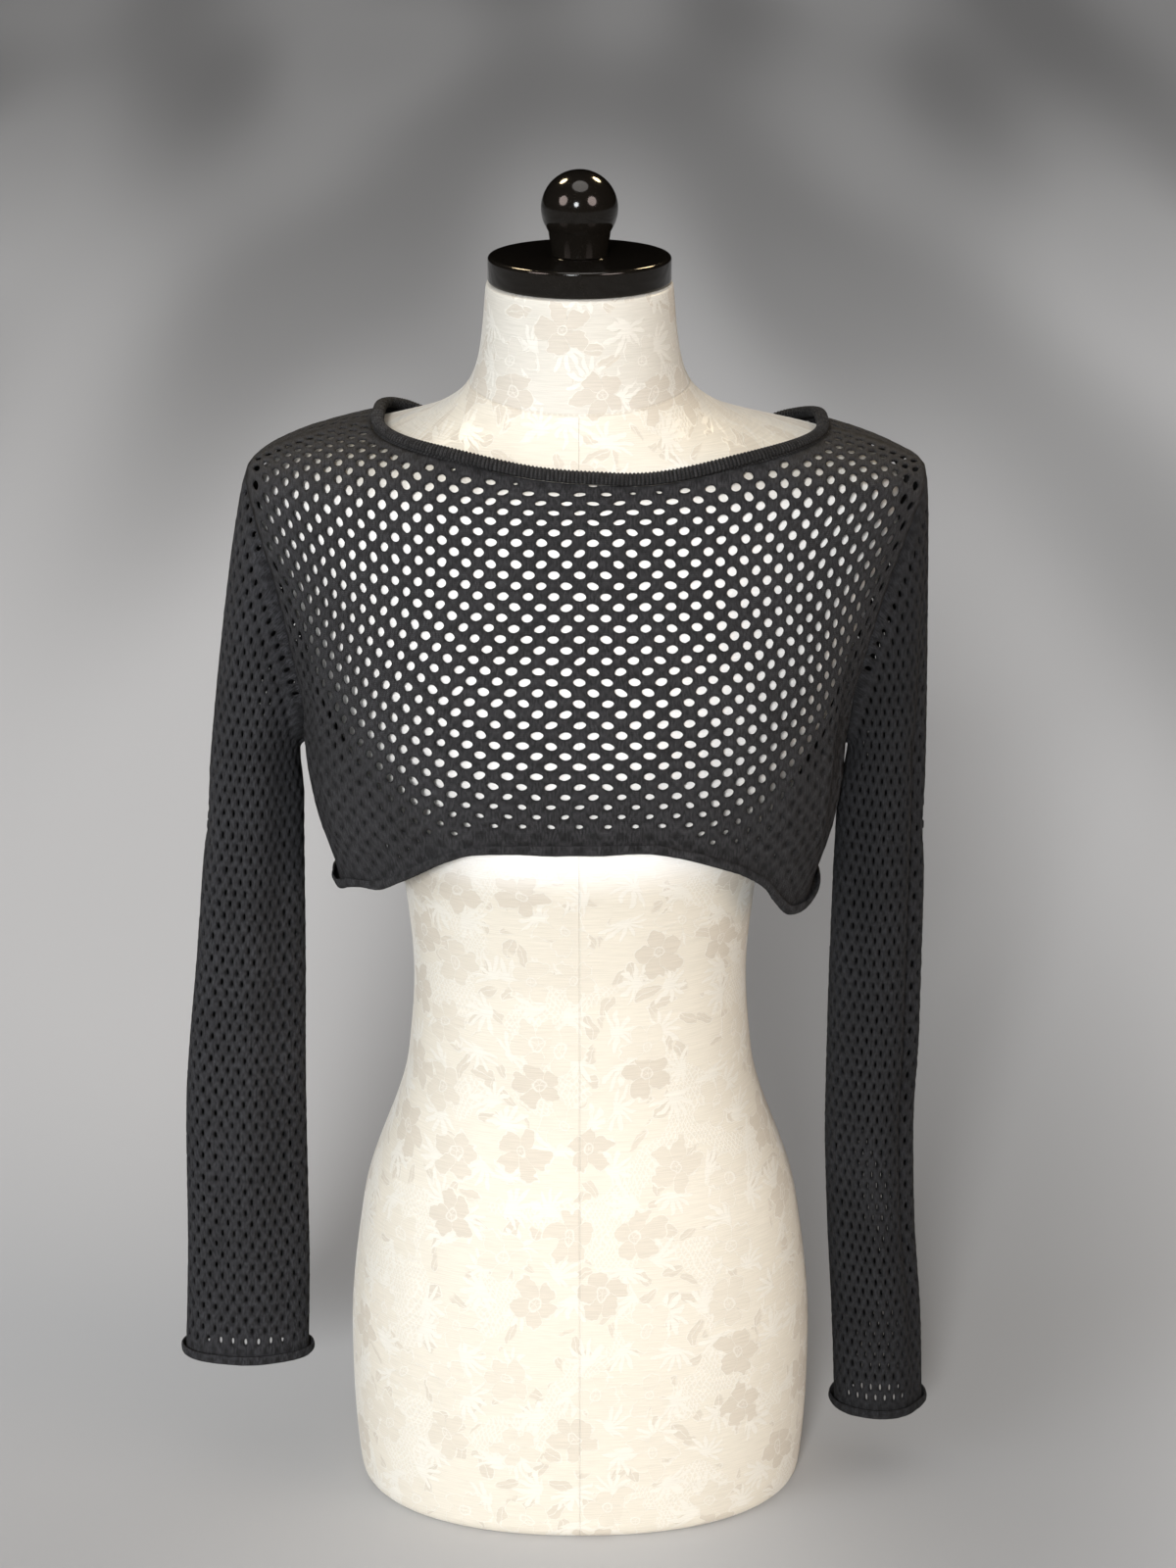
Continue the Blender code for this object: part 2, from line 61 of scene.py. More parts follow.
# ---- The covered torso
# A hard, padded shell under a close cover of cream jacquard, woven tone on tone with flowers, leaves and
# hatched patches. The cover is sewn from panels: one seam runs round the foot of the neck, and one down the
# middle of the front and the back.
ROUNDNESS = 2.2         # exponent of the body sections: 2 is an ellipse, more is squarer
FORM_HEIGHT = 0.779
FORM_SECTIONS = (
    # height, half width, front, back
    (0.000, 0.138, 0.104, 0.108),
    (0.005, 0.142, 0.108, 0.112),
    (0.100, 0.147, 0.112, 0.118),
    (0.190, 0.138, 0.103, 0.108),
    (0.290, 0.108, 0.083, 0.082),
    (0.345, 0.104, 0.083, 0.080),
    (0.400, 0.1085, 0.092, 0.083),
    (0.440, 0.1185, 0.103, 0.088),
    (0.470, 0.1320, 0.1125, 0.092),
    (0.494, 0.1420, 0.1175, 0.095),
    (0.520, 0.1535, 0.1192, 0.098),
    (0.560, 0.1680, 0.1143, 0.100),
    (0.600, 0.1815, 0.1083, 0.100),
    (0.640, 0.1930, 0.1023, 0.0968),
    (0.660, 0.1932, 0.0970, 0.0910),
    (0.672, 0.1845, 0.0933, 0.0860),
    (0.680, 0.1690, 0.0902, 0.0830),
    (0.686, 0.1506, 0.0877, 0.0806),
    (0.691, 0.1268, 0.0845, 0.0776),
    (0.695, 0.109, 0.0815, 0.075),
    (0.700, 0.092, 0.078, 0.071),
    (0.706, 0.080, 0.074, 0.068),
    (0.711, 0.073, 0.071, 0.066),
    (0.717, 0.0675, 0.0675, 0.064),
    (0.729, 0.062, 0.063, 0.061),
    (0.748, 0.0585, 0.060, 0.059),
    (0.779, 0.0558, 0.058, 0.057),
)
TORSO_ROWS = 130
TORSO_COLUMNS = 112
EDGE_ROWS = (0.985, 0.94, 0.6, 0.25, 0.03)   # shares of the last section, round over the edge and inward
EDGE_DROP = 0.0006
NECK_SEAM = 0.714       # height of the seam at the middle of the front
NECK_SEAM_RISE = 1.3    # how it climbs toward the sides, in metres for a squared metre
SEAM_EDGE = 0.001       # over which the cloth changes there
STITCH_PITCH = 0.0032   # of the seam's stitches
# Motifs: spacing, shift of their net, petals or leaves, reach, and the depth and sharpness of the notches
FLOWER = (0.044, 0.013, 5, 0.0165, 0.55, 0.55)
FAN = (0.031, 0.171, 11, 0.0145, 0.75, 1.6)
FAN_FOOT = (-0.004, -0.003)     # a fan is cut off here
LEAF_NET = (0.0165, 0.317)      # spacing and shift
LEAF_LENGTH = 0.0080
LEAF_WIDTH = 0.0036
MOTIF_EDGE = (-0.0002, 0.0003)  # from inside an outline to outside it
MARGIN = (0.0004, 0.0012)       # of bare ground round a flower
RAGGEDNESS = 0.010      # how much noise moves a flower's outline
EYE_RADIUS = 0.0034
OUTLINE = 0.0005        # half widths of the woven lines
VEIN = 0.0004
MIDRIB = 0.00025
LEAF_OUTLINE = 0.14     # as a share of the leaf
HATCH_LINE = 0.00045
HATCH_PITCH = 0.0032
HATCH_SLOPE = 0.62
WANDERS = ((45.0, 0.014), (230.0, 0.0024))      # scale and drift of the noises that move the lines
LEAFY_PATCH = (0.43, 0.45)      # of a slow noise, from where leaves begin
LEAFY_END = (0.565, 0.575)      # where they end
HATCHED_PATCH = (0.57, 0.585)   # and where hatching begins
SLUBS = (60.0, 1500.0, 1.0)     # the weave's noise, stretched across
SLUB_TONES = (0.94, 1.04)
COVER_ROUGHNESS = (0.64, 0.42)  # of the ground and of the pale lines
COVER_GROUND = (0.55, 0.53, 0.475)
SHOULDER_GROUND = (0.62, 0.58, 0.495)   # below the neck's seam
FLOWER_STRENGTH = (0.15, 0.85, 0.1, 1.0)    # low and high of its random value, strength there
LEAF_STRENGTH = 0.9
COVER_LAYERS = {
    # share and colour of each layer over the ground
    "filled": (0.50, (0.46, 0.405, 0.335)),
    "pale": (0.55, (0.68, 0.665, 0.61)),
    "stitches": (0.30, (0.45, 0.38, 0.30)),
    # painted light: the cover under the knit top is near white, so that it shows bright through the eyelets
    # in spite of the knit's shadow
    "painted_light_under_top": (0.85, (0.97, 0.965, 0.95)),
}
PAINTED_LIGHT_HEIGHTS = (0.42, 0.46, 0.655, 0.69)   # heights from and to which painted light makes the cover under the top paler
COVER_RELIEF = {"filled": 0.00005, "pale": 0.00009, "slubs": 0.00022, "seams": -0.0003}


def smooth(places, values):
    """A curve through the table that never overshoots: a monotone cubic."""
    xs, ys = np.asarray(places, float), np.asarray(values, float)
    steps = np.diff(xs)
    slopes = np.diff(ys) / steps
    tangents = np.concatenate(([slopes[0]], np.zeros(len(xs) - 2), [slopes[-1]]))
    for i in range(1, len(xs) - 1):
        if slopes[i - 1] * slopes[i] > 0:
            before, after = 2 * steps[i] + steps[i - 1], steps[i] + 2 * steps[i - 1]
            tangents[i] = (before + after) / (before / slopes[i - 1] + after / slopes[i])

    def read(x):
        x = np.clip(x, xs[0], xs[-1])
        i = np.clip(np.searchsorted(xs, x) - 1, 0, len(steps) - 1)
        t = (x - xs[i]) / steps[i]
        value = ys[i] * (1 + 2 * t) * (1 - t) ** 2 + ys[i + 1] * t * t * (3 - 2 * t)
        return value + steps[i] * (tangents[i] * t * (1 - t) ** 2 + tangents[i + 1] * t * t * (t - 1))

    return read


def columns_of(table):
    """One smooth curve for each column of a table, along its first column."""
    rows = np.array(table)
    return [smooth(rows[:, 0], rows[:, i]) for i in range(1, rows.shape[1])]


def path_lengths(path):
    """The distance along a path to each of its points."""
    return np.concatenate(([0], np.cumsum(np.linalg.norm(np.diff(path, axis=0), axis=1))))


def signed_power(value, exponent):
    return np.sign(value) * np.abs(value) ** exponent


def mesh_of(name, points, groups):
    """A smooth mesh with a UV map in metres, from points and groups of (faces, their corners' places)."""
    faces = [face for corners, _ in groups for face in corners.tolist()]
    mesh = bpy.data.meshes.new(name)
    mesh.from_pydata(points.tolist(), [], faces)
    places = np.concatenate([places.reshape(-1, 2) for _, places in groups])
    mesh.uv_layers.new(name="flat").data.foreach_set("uv", places.ravel())
    mesh.shade_smooth()
    obj = bpy.data.objects.new(name, mesh)
    bpy.context.scene.collection.objects.link(obj)
    return obj


def ring_faces(rows, columns):
    """Quads between closed rings of points, and the grid places of their corners."""
    r, c = np.mgrid[0:rows - 1, 0:columns].reshape(2, -1)
    row = np.stack([r, r + 1, r + 1, r], axis=1)
    column = np.stack([c, c, c + 1, c + 1], axis=1)
    return row * columns + column % columns, row, column


def torso_point(sections, turn, z, share):
    """A point on the torso. A turn of 0 is the middle of the front, and it grows to the right."""
    half, front, back = (read(z) for read in sections)
    x = half * signed_power(np.sin(turn), 2 / ROUNDNESS)
    y = -np.where(np.cos(turn) > 0, front, back) * signed_power(np.cos(turn), 2 / ROUNDNESS)
    return np.stack([x * share, y * share, np.broadcast_to(z, x.shape)], axis=-1)


def cover_torso():
    """The cover's mesh: rings at even steps along the form's side, closed over at the top and underneath."""
    sections = columns_of(FORM_SECTIONS)
    z = np.linspace(0, FORM_HEIGHT, 2000)
    lengths = path_lengths(np.stack([z, sections[0](z), sections[1](z)], axis=1))
    heights = np.interp(np.linspace(lengths[-1], 0, TORSO_ROWS), lengths, z)
    turns = np.linspace(-math.pi, math.pi, TORSO_COLUMNS + 1)
    rings = [(FORM_HEIGHT, share) for share in EDGE_ROWS[::-1]]
    rings += [(height, 1.0) for height in np.clip(heights, EDGE_DROP, FORM_HEIGHT - EDGE_DROP)]
    rings += [(0.0, share) for share in EDGE_ROWS]
    rows = np.array([torso_point(sections, turns, height, share) for height, share in rings])
    middle = TORSO_COLUMNS // 2
    across = np.array([path_lengths(ring) for ring in rows])
    across -= across[:, middle, None]
    down = np.broadcast_to(-path_lengths(rows[:, middle])[:, None], across.shape)
    faces, row, column = ring_faces(len(rows), TORSO_COLUMNS)
    places = np.stack([across, down], axis=-1)[row, column]
    obj = mesh_of("torso_cover", rows[:, :-1].reshape(-1, 3), [(faces, places)])
    bm = bmesh.new()
    bm.from_mesh(obj.data)
    bmesh.ops.holes_fill(bm, edges=[edge for edge in bm.edges if edge.is_boundary], sides=0)
    bm.to_mesh(obj.data)
    bm.free()
    finer = obj.modifiers.new("finer", "SUBSURF")
    finer.levels = finer.render_levels = 1
    with bpy.context.temp_override(object=obj, active_object=obj, selected_objects=[obj]):
        bpy.ops.object.modifier_apply(modifier=finer.name)
    return obj


class Value:
    """A value in a material's node tree. Arithmetic with it adds the nodes that work it out."""

    def __init__(self, tree, socket):
        self.tree, self.socket = tree, socket

    def math(self, operation, *others):
        return nodes(self.tree, "Math", enumerate((self, *others)), operation=operation)[0]

    def vector(self, operation, other):
        return nodes(self.tree, "VectorMath", {0: self, 1: other}, operation=operation)[0]

    def __add__(self, other):
        return self.math("ADD", other)

    __radd__ = __add__

    def __sub__(self, other):
        return self.math("SUBTRACT", other)

    def __mul__(self, other):
        return self.math("MULTIPLY", other)

    def __pow__(self, other):
        return self.math("POWER", other)

    def between(self, low, high, start=0.0, end=1.0):
        """A soft step from start to end as the value goes from low to high."""
        ends = {"Value": self, "From Min": low, "From Max": high, "To Min": start, "To Max": end}
        return nodes(self.tree, "MapRange", ends, interpolation_type="SMOOTHSTEP")[0]

    def inside(self, low, high):
        """1 up to low, falling to 0 at high."""
        return self.between(low, high, 1.0, 0.0)

    def line(self, half_width):
        """1 where the value is 0, falling to 0 just past a half width."""
        return self.math("ABSOLUTE").inside(half_width * 0.4, half_width * 1.6)


def nodes(tree, kind, inputs=(), **settings):
    """Add a node and give its outputs. Its inputs are numbers, vectors, colours or other nodes' outputs."""
    made = tree.nodes.new("ShaderNode" + kind)
    for key, value in settings.items():
        setattr(made, key, value)
    for place, value in dict(inputs).items():
        socket = made.inputs[place]
        if isinstance(value, Value):
            tree.links.new(value.socket, socket)
        elif socket.type == "RGBA":
            socket.default_value = (*value, 1)
        else:
            socket.default_value = value
    return [Value(tree, socket) for socket in made.outputs]


def noise(place, scale, detail, output=0):
    """Noise at a place: one value or, from output 1, three."""
    return nodes(place.tree, "TexNoise", {"Vector": place, "Scale": scale, "Detail": detail})[output]


def parts_of(vector):
    return nodes(vector.tree, "SeparateXYZ", {0: vector})


def blend(share, first, second):
    """One colour over another by a share."""
    return nodes(share.tree, "Mix", {0: share, 6: first, 7: second}, data_type="RGBA")[2]


def toned(colour, tone):
    """A colour made darker or paler."""
    inputs = {0: 1.0, 6: colour, 7: tone}
    return nodes(tone.tree, "Mix", inputs, data_type="RGBA", blend_type="MULTIPLY")[2]


def most(largest, *others):
    """The largest of several values."""
    for other in others:
        largest = largest.math("MAXIMUM", other)
    return largest


def new_material(obj, name, colour, specular, roughness=0.5, sheen=0.0, sheen_roughness=0.5):
    """Put a new material on an object and give its node tree."""
    material = bpy.data.materials.new(name)
    material.use_nodes = True
    obj.data.materials.append(material)
    settings = {"Base Color": (*colour, 1), "Roughness": roughness, "Specular IOR Level": specular,
                "Sheen Weight": sheen, "Sheen Roughness": sheen_roughness}
    for key, value in settings.items():
        material.node_tree.nodes["Principled BSDF"].inputs[key].default_value = value
    return material.node_tree


def link_shader(tree, **values):
    """Link values to the shader. A _ in a name stands for a space."""
    for key, value in values.items():
        tree.links.new(value.socket, tree.nodes["Principled BSDF"].inputs[key.replace("_", " ")])


def bump(height, distance=1.0):
    """A height in a material as a slope of its surface."""
    return nodes(height.tree, "Bump", {"Height": height, "Distance": distance, "Strength": 1.0})[0]


def turned_cells(place, spacing, shift):
    """Where a point lies from the middle of the nearest motif, which is turned at random, and a random
    value for that motif: (across, along, value)."""
    moved = place.vector("ADD", (shift, shift * 0.7, 0))
    cells = {"Vector": moved, "Scale": 1 / spacing, "Randomness": 0.8}
    _, colour, middle, *_ = nodes(place.tree, "TexVoronoi", cells, voronoi_dimensions="2D")
    turn, chance, *_ = nodes(place.tree, "SeparateColor", {0: colour})
    turning = {"Vector": moved.vector("SUBTRACT", middle), "Angle": turn * (2 * math.pi)}
    across, along, _ = parts_of(nodes(place.tree, "VectorRotate", turning, rotation_type="Z_AXIS")[0])
    return across, along, chance


def blossom(place, spacing, shift, petals, reach_out, depth, sharpness):
    """How far a point lies outside a motif's outline, how far from its middle, its petals' lobes, how far
    along it, and its random value."""
    across, along, chance = turned_cells(place, spacing, shift)
    out = (across * across + along * along).math("SQRT")
    turn = along.math("ARCTAN2", across) * (petals / 2)
    lobe = turn.math("COSINE").math("ABSOLUTE")
    outline = lobe ** sharpness * (reach_out * depth) + reach_out * (1 - depth)
    return out - outline, out, lobe, along, chance


def put_jacquard(obj):
    """Cream on cream: satin flowers, leaf sprays and leaves on a slubbed ground, with hatched patches."""
    tree = new_material(obj, "cream_jacquard", COVER_GROUND, specular=0.35, sheen=0.15, sheen_roughness=0.4)
    flat = nodes(tree, "UVMap", uv_map="flat")[0]
    place = flat
    for scale, drift in WANDERS:
        wander = noise(flat, scale, detail=1.0, output=1).vector("SUBTRACT", (0.5, 0.5, 0.5))
        place = place.vector("ADD", wander.vector("MULTIPLY", (drift, drift, drift)))

    # Round flowers with outlined petals, veins between them and an eye
    past, out, lobe, _, chance = blossom(place, *FLOWER)
    past = past + noise(flat, scale=150.0, detail=1.0) * RAGGEDNESS - RAGGEDNESS / 2
    flower = past.inside(*MOTIF_EDGE)
    veins, eye = (lobe * out).line(VEIN) * flower, (out - EYE_RADIUS).line(OUTLINE)
    flower_lines = most(past.line(OUTLINE), veins, eye)
    clear = past.between(*MARGIN)

    # Pale fans of narrow pointed leaves
    spiked, _, _, along, _ = blossom(place, *FAN)
    fan = spiked.inside(*MOTIF_EDGE) * along.between(*FAN_FOOT) * clear
    clear = clear * (fan * -1.0 + 1.0)

    # Ovals between them with a midrib, and hatching, each in its own patches
    across, along, _ = turned_cells(place, *LEAF_NET)
    oval = (across * (1 / LEAF_LENGTH)) ** 2.0 + (along * (1 / LEAF_WIDTH)) ** 2.0
    patch = noise(place, scale=21.0, detail=0.0)
    leafy = patch.between(*LEAFY_PATCH) * patch.inside(*LEAFY_END) * clear
    leaf = oval.inside(0.9, 1.1) * leafy
    leaf_lines = most((oval - 1.0).line(LEAF_OUTLINE) * leafy, along.line(MIDRIB) * leaf)
    x, y, _ = parts_of(place)
    diagonals = [(x + y * slope).math("PINGPONG", HATCH_PITCH / 2) for slope in (HATCH_SLOPE, -HATCH_SLOPE)]
    hatch = most(*(diagonal.line(HATCH_LINE) for diagonal in diagonals))
    hatch = hatch * patch.between(*HATCHED_PATCH) * clear

    # Seams, and the painted light that makes the cover paler under the top, in the form's own coordinates
    x, _, z = parts_of(nodes(tree, "TexCoord")[3])
    neck_line = z - (x * x * NECK_SEAM_RISE + NECK_SEAM)
    below = neck_line.inside(-SEAM_EDGE, SEAM_EDGE)
    stitch = x.math("PINGPONG", STITCH_PITCH / 2).between(STITCH_PITCH / 8, STITCH_PITCH / 4)
    masks = {
        "filled": most(flower * chance.between(*FLOWER_STRENGTH), leaf * LEAF_STRENGTH),
        "pale": most(flower_lines, leaf_lines, hatch, fan),
        "stitches": neck_line.line(OUTLINE) * stitch,
        "painted_light_under_top": z.between(*PAINTED_LIGHT_HEIGHTS[:2]) * z.inside(*PAINTED_LIGHT_HEIGHTS[2:]),
        "slubs": noise(flat.vector("MULTIPLY", SLUBS), scale=1.0, detail=2.0),
        "seams": most(neck_line.line(OUTLINE * 1.2), x.line(VEIN) * below),
    }
    colour = blend(below, COVER_GROUND, SHOULDER_GROUND)
    for name, (share, tint) in COVER_LAYERS.items():
        colour = blend(masks[name] * share, colour, tint)
    height = sum(masks[name] * relief for name, relief in COVER_RELIEF.items())
    link_shader(tree, Base_Color=toned(colour, masks["slubs"].between(0.3, 0.7, *SLUB_TONES)),
                Roughness=masks["pale"].between(0.0, 1.0, *COVER_ROUGHNESS), Normal=bump(height))


torso = cover_torso()
put_jacquard(torso)
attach(torso, "root")
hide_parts("form_torso")

# ---- The neck cap
# A turned wooden disc under several coats of black lacquer, screwed down on the form's neck. Its edges are
# rounded over, and the lacquer is polished.
SEAM_GAP = 0.0003
CAP_RADIUS = 0.0547
CAP_HEIGHT = 0.016
CAP_ROUNDING = 0.0022
CAP_SEGMENTS = 144
LACQUER = (0.0060, 0.0050, 0.0040)
SPECKS = (0.030, 0.026, 0.022)
SPECK_SHARE = 0.2
SPECK_ROUGHNESS = 0.12  # above the polish
POLISH = 0.10
INSET = 0.0004          # of a flat end's faces, which keeps it flat beside the rounding
FLOW_RELIEF = 0.00006   # how far the lacquer's surface waves


def put_lacquer(obj, name):
    """Black lacquer with a slow flow in its surface and fine specks of dust."""
    tree = new_material(obj, name, LACQUER, specular=0.22)
    place = nodes(tree, "TexCoord")[3]
    dust = noise(place, scale=900.0, detail=3.0).between(0.55, 0.8)
    link_shader(tree, Base_Color=blend(dust * SPECK_SHARE, LACQUER, SPECKS),
                Roughness=dust * SPECK_ROUGHNESS + POLISH,
                Normal=bump(noise(place, scale=90.0, detail=2.0), FLOW_RELIEF))


def settle():
    """Put the finished active object's place in its mesh and shade it."""
    bpy.ops.object.mode_set(mode="OBJECT")
    bpy.ops.object.transform_apply(location=True, rotation=True, scale=True)
    bpy.ops.object.shade_smooth_by_angle(angle=math.radians(40))


def rim_edges(obj, height):
    """Select the edges that lie all round at a height above the object's origin."""
    bpy.ops.mesh.select_all(action="DESELECT")
    bm = bmesh.from_edit_mesh(obj.data)
    for edge in bm.edges:
        if all(abs(vert.co.z - height) < 1e-5 for vert in edge.verts):
            edge.select_set(True)
    bmesh.update_edit_mesh(obj.data)


bpy.ops.mesh.primitive_cylinder_add(vertices=CAP_SEGMENTS, radius=CAP_RADIUS, depth=CAP_HEIGHT,
                                    location=(0, 0, FORM_HEIGHT + SEAM_GAP + CAP_HEIGHT / 2))
cap = bpy.context.object
cap.name = "lacquered_cap"
bpy.ops.object.mode_set(mode="EDIT")
bpy.ops.mesh.select_mode(type="EDGE")
for height in (CAP_HEIGHT / 2, -CAP_HEIGHT / 2):
    rim_edges(cap, height)
    bpy.ops.mesh.bevel(offset=CAP_ROUNDING, segments=6, profile=0.5)
    rim_edges(cap, height)
    bpy.ops.mesh.select_mode(type="FACE")
    bpy.ops.mesh.inset(thickness=INSET)
    bpy.ops.mesh.select_mode(type="EDGE")
settle()
put_lacquer(cap, "cap_lacquer")
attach(cap, "root")
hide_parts("neck_cap")

# ---- The ball finial
# A turned wooden ball on a flat foot, lacquered as the cap is. A dowel that doesn't show pins it down, and
# the lacquer has run into a thin bead round its foot.
FINIAL_RADIUS = 0.0229
FINIAL_FOOT = 0.0162
FINIAL_HEIGHT = 0.0505
FINIAL_TAPER = math.radians(35)   # below its middle, where the ball runs out straight to its foot
BEAD = 0.0005

finial_foot = FORM_HEIGHT + CAP_HEIGHT + 2 * SEAM_GAP
ball_drop = FINIAL_HEIGHT - FINIAL_RADIUS        # from the ball's middle to its foot
bpy.ops.mesh.primitive_uv_sphere_add(segments=96, ring_count=72, radius=FINIAL_RADIUS,
                                     location=(0, 0, finial_foot + ball_drop))
finial = bpy.context.object
finial.name = "lacquered_ball"
taper_height = -FINIAL_RADIUS * math.sin(FINIAL_TAPER)
taper_radius = FINIAL_RADIUS * math.cos(FINIAL_TAPER)
taper_middle = (0, 0, finial_foot + ball_drop + taper_height)
bpy.ops.object.mode_set(mode="EDIT")
bpy.ops.mesh.select_all(action="SELECT")
bpy.ops.mesh.bisect(plane_co=taper_middle, plane_no=(0, 0, 1), clear_inner=True)
for rise, radius in ((BEAD, FINIAL_FOOT), (BEAD, FINIAL_FOOT + BEAD * 0.6), (BEAD * 0.4, FINIAL_FOOT + BEAD),
                     (0, FINIAL_FOOT + BEAD * 0.6), (0, FINIAL_FOOT * 0.5)):
    height = rise - ball_drop
    bpy.ops.mesh.extrude_region_move(TRANSFORM_OT_translate={"value": (0, 0, height - taper_height)})
    bpy.ops.transform.resize(value=(radius / taper_radius, radius / taper_radius, 1))
    taper_height, taper_radius = height, radius
bpy.ops.mesh.edge_face_add()
settle()
put_lacquer(finial, "ball_lacquer")
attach(finial, "root")
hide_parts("finial")

# ---- The front
# One panel of charcoal cotton, knitted in plain stitch with small even eyelets in brick order. It lies on
# the form down to the bust and hangs free below it. Its last rows curl outward into the rolled hem.
WALL = 0.0016           # the knit with its puff, as the solids have it
KNIT = 0.0012           # the yarn itself
SECTION_FLATNESS = 0.72
GRADIENT_STEP = 0.0002
KNIT_SECTIONS = (
    # height, left, right, front, back
    (0.385, 0.1450, 0.1410, 0.1020, 0.098),
    (0.405, 0.1475, 0.1440, 0.1050, 0.099),
    (0.430, 0.1540, 0.1515, 0.1100, 0.101),
    (0.455, 0.1610, 0.1570, 0.1150, 0.102),
    (0.480, 0.1650, 0.1595, 0.1200, 0.102),
    (0.500, 0.1670, 0.1610, 0.1215, 0.101),
    (0.530, 0.1720, 0.1690, 0.1215, 0.101),
    (0.560, 0.1800, 0.1790, 0.1165, 0.102),
    (0.600, 0.1900, 0.1920, 0.1105, 0.102),
    (0.640, 0.1990, 0.2040, 0.1045, 0.099),
    (0.660, 0.2010, 0.2080, 0.0995, 0.094),
    (0.668, 0.1990, 0.2070, 0.0970, 0.092),
    (0.675, 0.1915, 0.1960, 0.0955, 0.091),
    (0.683, 0.1755, 0.1775, 0.0932, 0.088),
    (0.689, 0.1555, 0.1565, 0.0908, 0.085),
    (0.694, 0.1310, 0.1320, 0.0877, 0.082),
    (0.698, 0.1120, 0.1120, 0.0845, 0.078),
    (0.704, 0.0940, 0.0940, 0.0795, 0.073),
)
UNDERARM = 0.494
SHOULDER_TIP = 0.668
ARMHOLE_HALF = 0.040
ARMHOLE_MIDDLE = (UNDERARM + SHOULDER_TIP) / 2
ARMHOLE_RISE = (SHOULDER_TIP - UNDERARM) / 2
NECK_MIDDLE = 0.0125
NECK_HALF = 0.137
NECK_DEPTH = 0.0945     # from the middle plane forward to the front neckline
NECK_SHAPE = (2.6, 2.25)    # exponents of the front neckline's left half and its right
NAPE_HEIGHT = 0.650     # of the back neckline, which the shoulders hide from the front
NAPE_SHAPE = 5.0        # how squarely it turns up to its ends
NECK_SPREAD = 4.0
HEM_LINES = {
    # share of the way to the side seam, height
    "front": ((-1.0, 0.404), (-0.9, 0.417), (-0.78, 0.423), (-0.6, 0.440), (-0.48, 0.451), (-0.3, 0.459),
              (0.0, 0.4605), (0.24, 0.4605), (0.4, 0.454), (0.6, 0.440), (0.72, 0.427), (0.8, 0.412),
              (0.88, 0.400), (0.95, 0.398), (1.0, 0.400)),
    "back": ((-1.0, 0.404), (-0.6, 0.407), (0.0, 0.405), (0.6, 0.402), (1.0, 0.400)),
}
ROLL_RADIUS = 0.0042
ROLL_DEPTH = 0.0027     # half the roll's thickness
ROLL_TURN = math.radians(215)
HALF_PANEL = 0.245      # a panel's flat half width
REFERENCE_HEIGHT = 0.64  # of the row of eyelets that the others are counted from
SHOULDER_COLUMNS = 26   # columns of the drape, on each side of the neckline
NECK_COLUMNS = 150      # and along it
RIDGE_HALF = 0.003      # half width of the shoulder seam's ridge
COLUMN_SAMPLES = 1000
PANEL_STEPS = 260       # down a column
HALVINGS = 40           # in the search for its top
COLUMN_DRIFT = 0.085    # how the eyelets' columns crowd toward the sides
EYELET_COLUMNS = 14.5   # on each side of the middle
EYELET_ROWS = (-24, 52)
ROW_PITCH = 0.0063      # of the eyelets' half rows
NECK_CROWDING = 2.4     # how those rows crowd toward the neckline at the middle, per metre
SIDE_SPREADING = 0.55   # and spread toward the hem at the sides
HEM_BAND = 0.0095       # the plain rows above the roll
BAND_LAP = 0.003        # from the lowest eyelets' middles to where the band's even places begin
EYELETS = (
    # share of the way to the side, width, height
    (0.00, 0.0078, 0.0047),
    (0.25, 0.0076, 0.0050),
    (0.50, 0.0067, 0.0059),
    (0.75, 0.0060, 0.0062),
    (1.00, 0.0058, 0.0060),
)
SLACK_EYELET = (0.0013, 0.0040)     # width and height where the knit hangs free and draws together
LOOSE_ROWS = 0.042      # above the hem's band, where the eyelets are smaller
LOOSE_SHRINK = (0.35, 0.40)     # in width and height
TIGHT_ROWS = 0.045      # below the neckline's middle, where the stretched eyelets are drawn thin
TIGHT_SHRINK = 0.55     # in height
OFF_FORM = (0.008, 0.018)       # how far off the form the knit begins to hang slack, and is all slack
SLACK_HEIGHTS = (0.655, 0.635)  # the same by height, since the shoulders stretch it again
EYELET_POINT = 1.8      # 2 gives ovals, and less draws them out to the sides
RING_POINTS = 12
RING_UNEVEN = 0.035     # how uneven an eyelet's rim is
RING_LEAN = 0.10        # and how it leans
GUARD = 0.0009          # from an eyelet's rim to the ring of stitches round it
CLEARANCE = 0.0016      # from that ring to the panel's edges
FILL_ROOM = 0.0010      # from it to the places that fill the knit between the eyelets
SEAM_ROOM = 0.0008      # and to a sleeve's seam
LEAST_ROOM = 0.0011     # for an eyelet's half size beside them
EDGE_STEP = 0.0026
FILL_STEP = 0.0036
FILL_JITTER = 0.0004
ROLL_STEP = 0.0015
PANEL_PUFF = (0.0002, 0.00012)  # even and uneven
PANEL_WAVES = (0.0005, 0.05)    # height and size
WAVES_FROM = (0.11, 0.16)       # distances down from and past which they are full
FINE_SIZE = 0.008       # of the uneven puff
NOISE_WAVES = 9
RIM_SHARE = 0.5         # of the knit's thickness, at an eyelet's rim
WALE = 0.0015           # width of a stitch
COURSE = 0.0012         # and its height
SLANT = 0.8             # of a stitch's arms, in courses
STRAND_SHAPE = 0.6
CROWN_RISE = 0.7
HEATHER = (900.0, 260.0, 1.0)   # the yarn's noise, drawn out down the columns
CHARCOAL = (0.027, 0.027, 0.029)
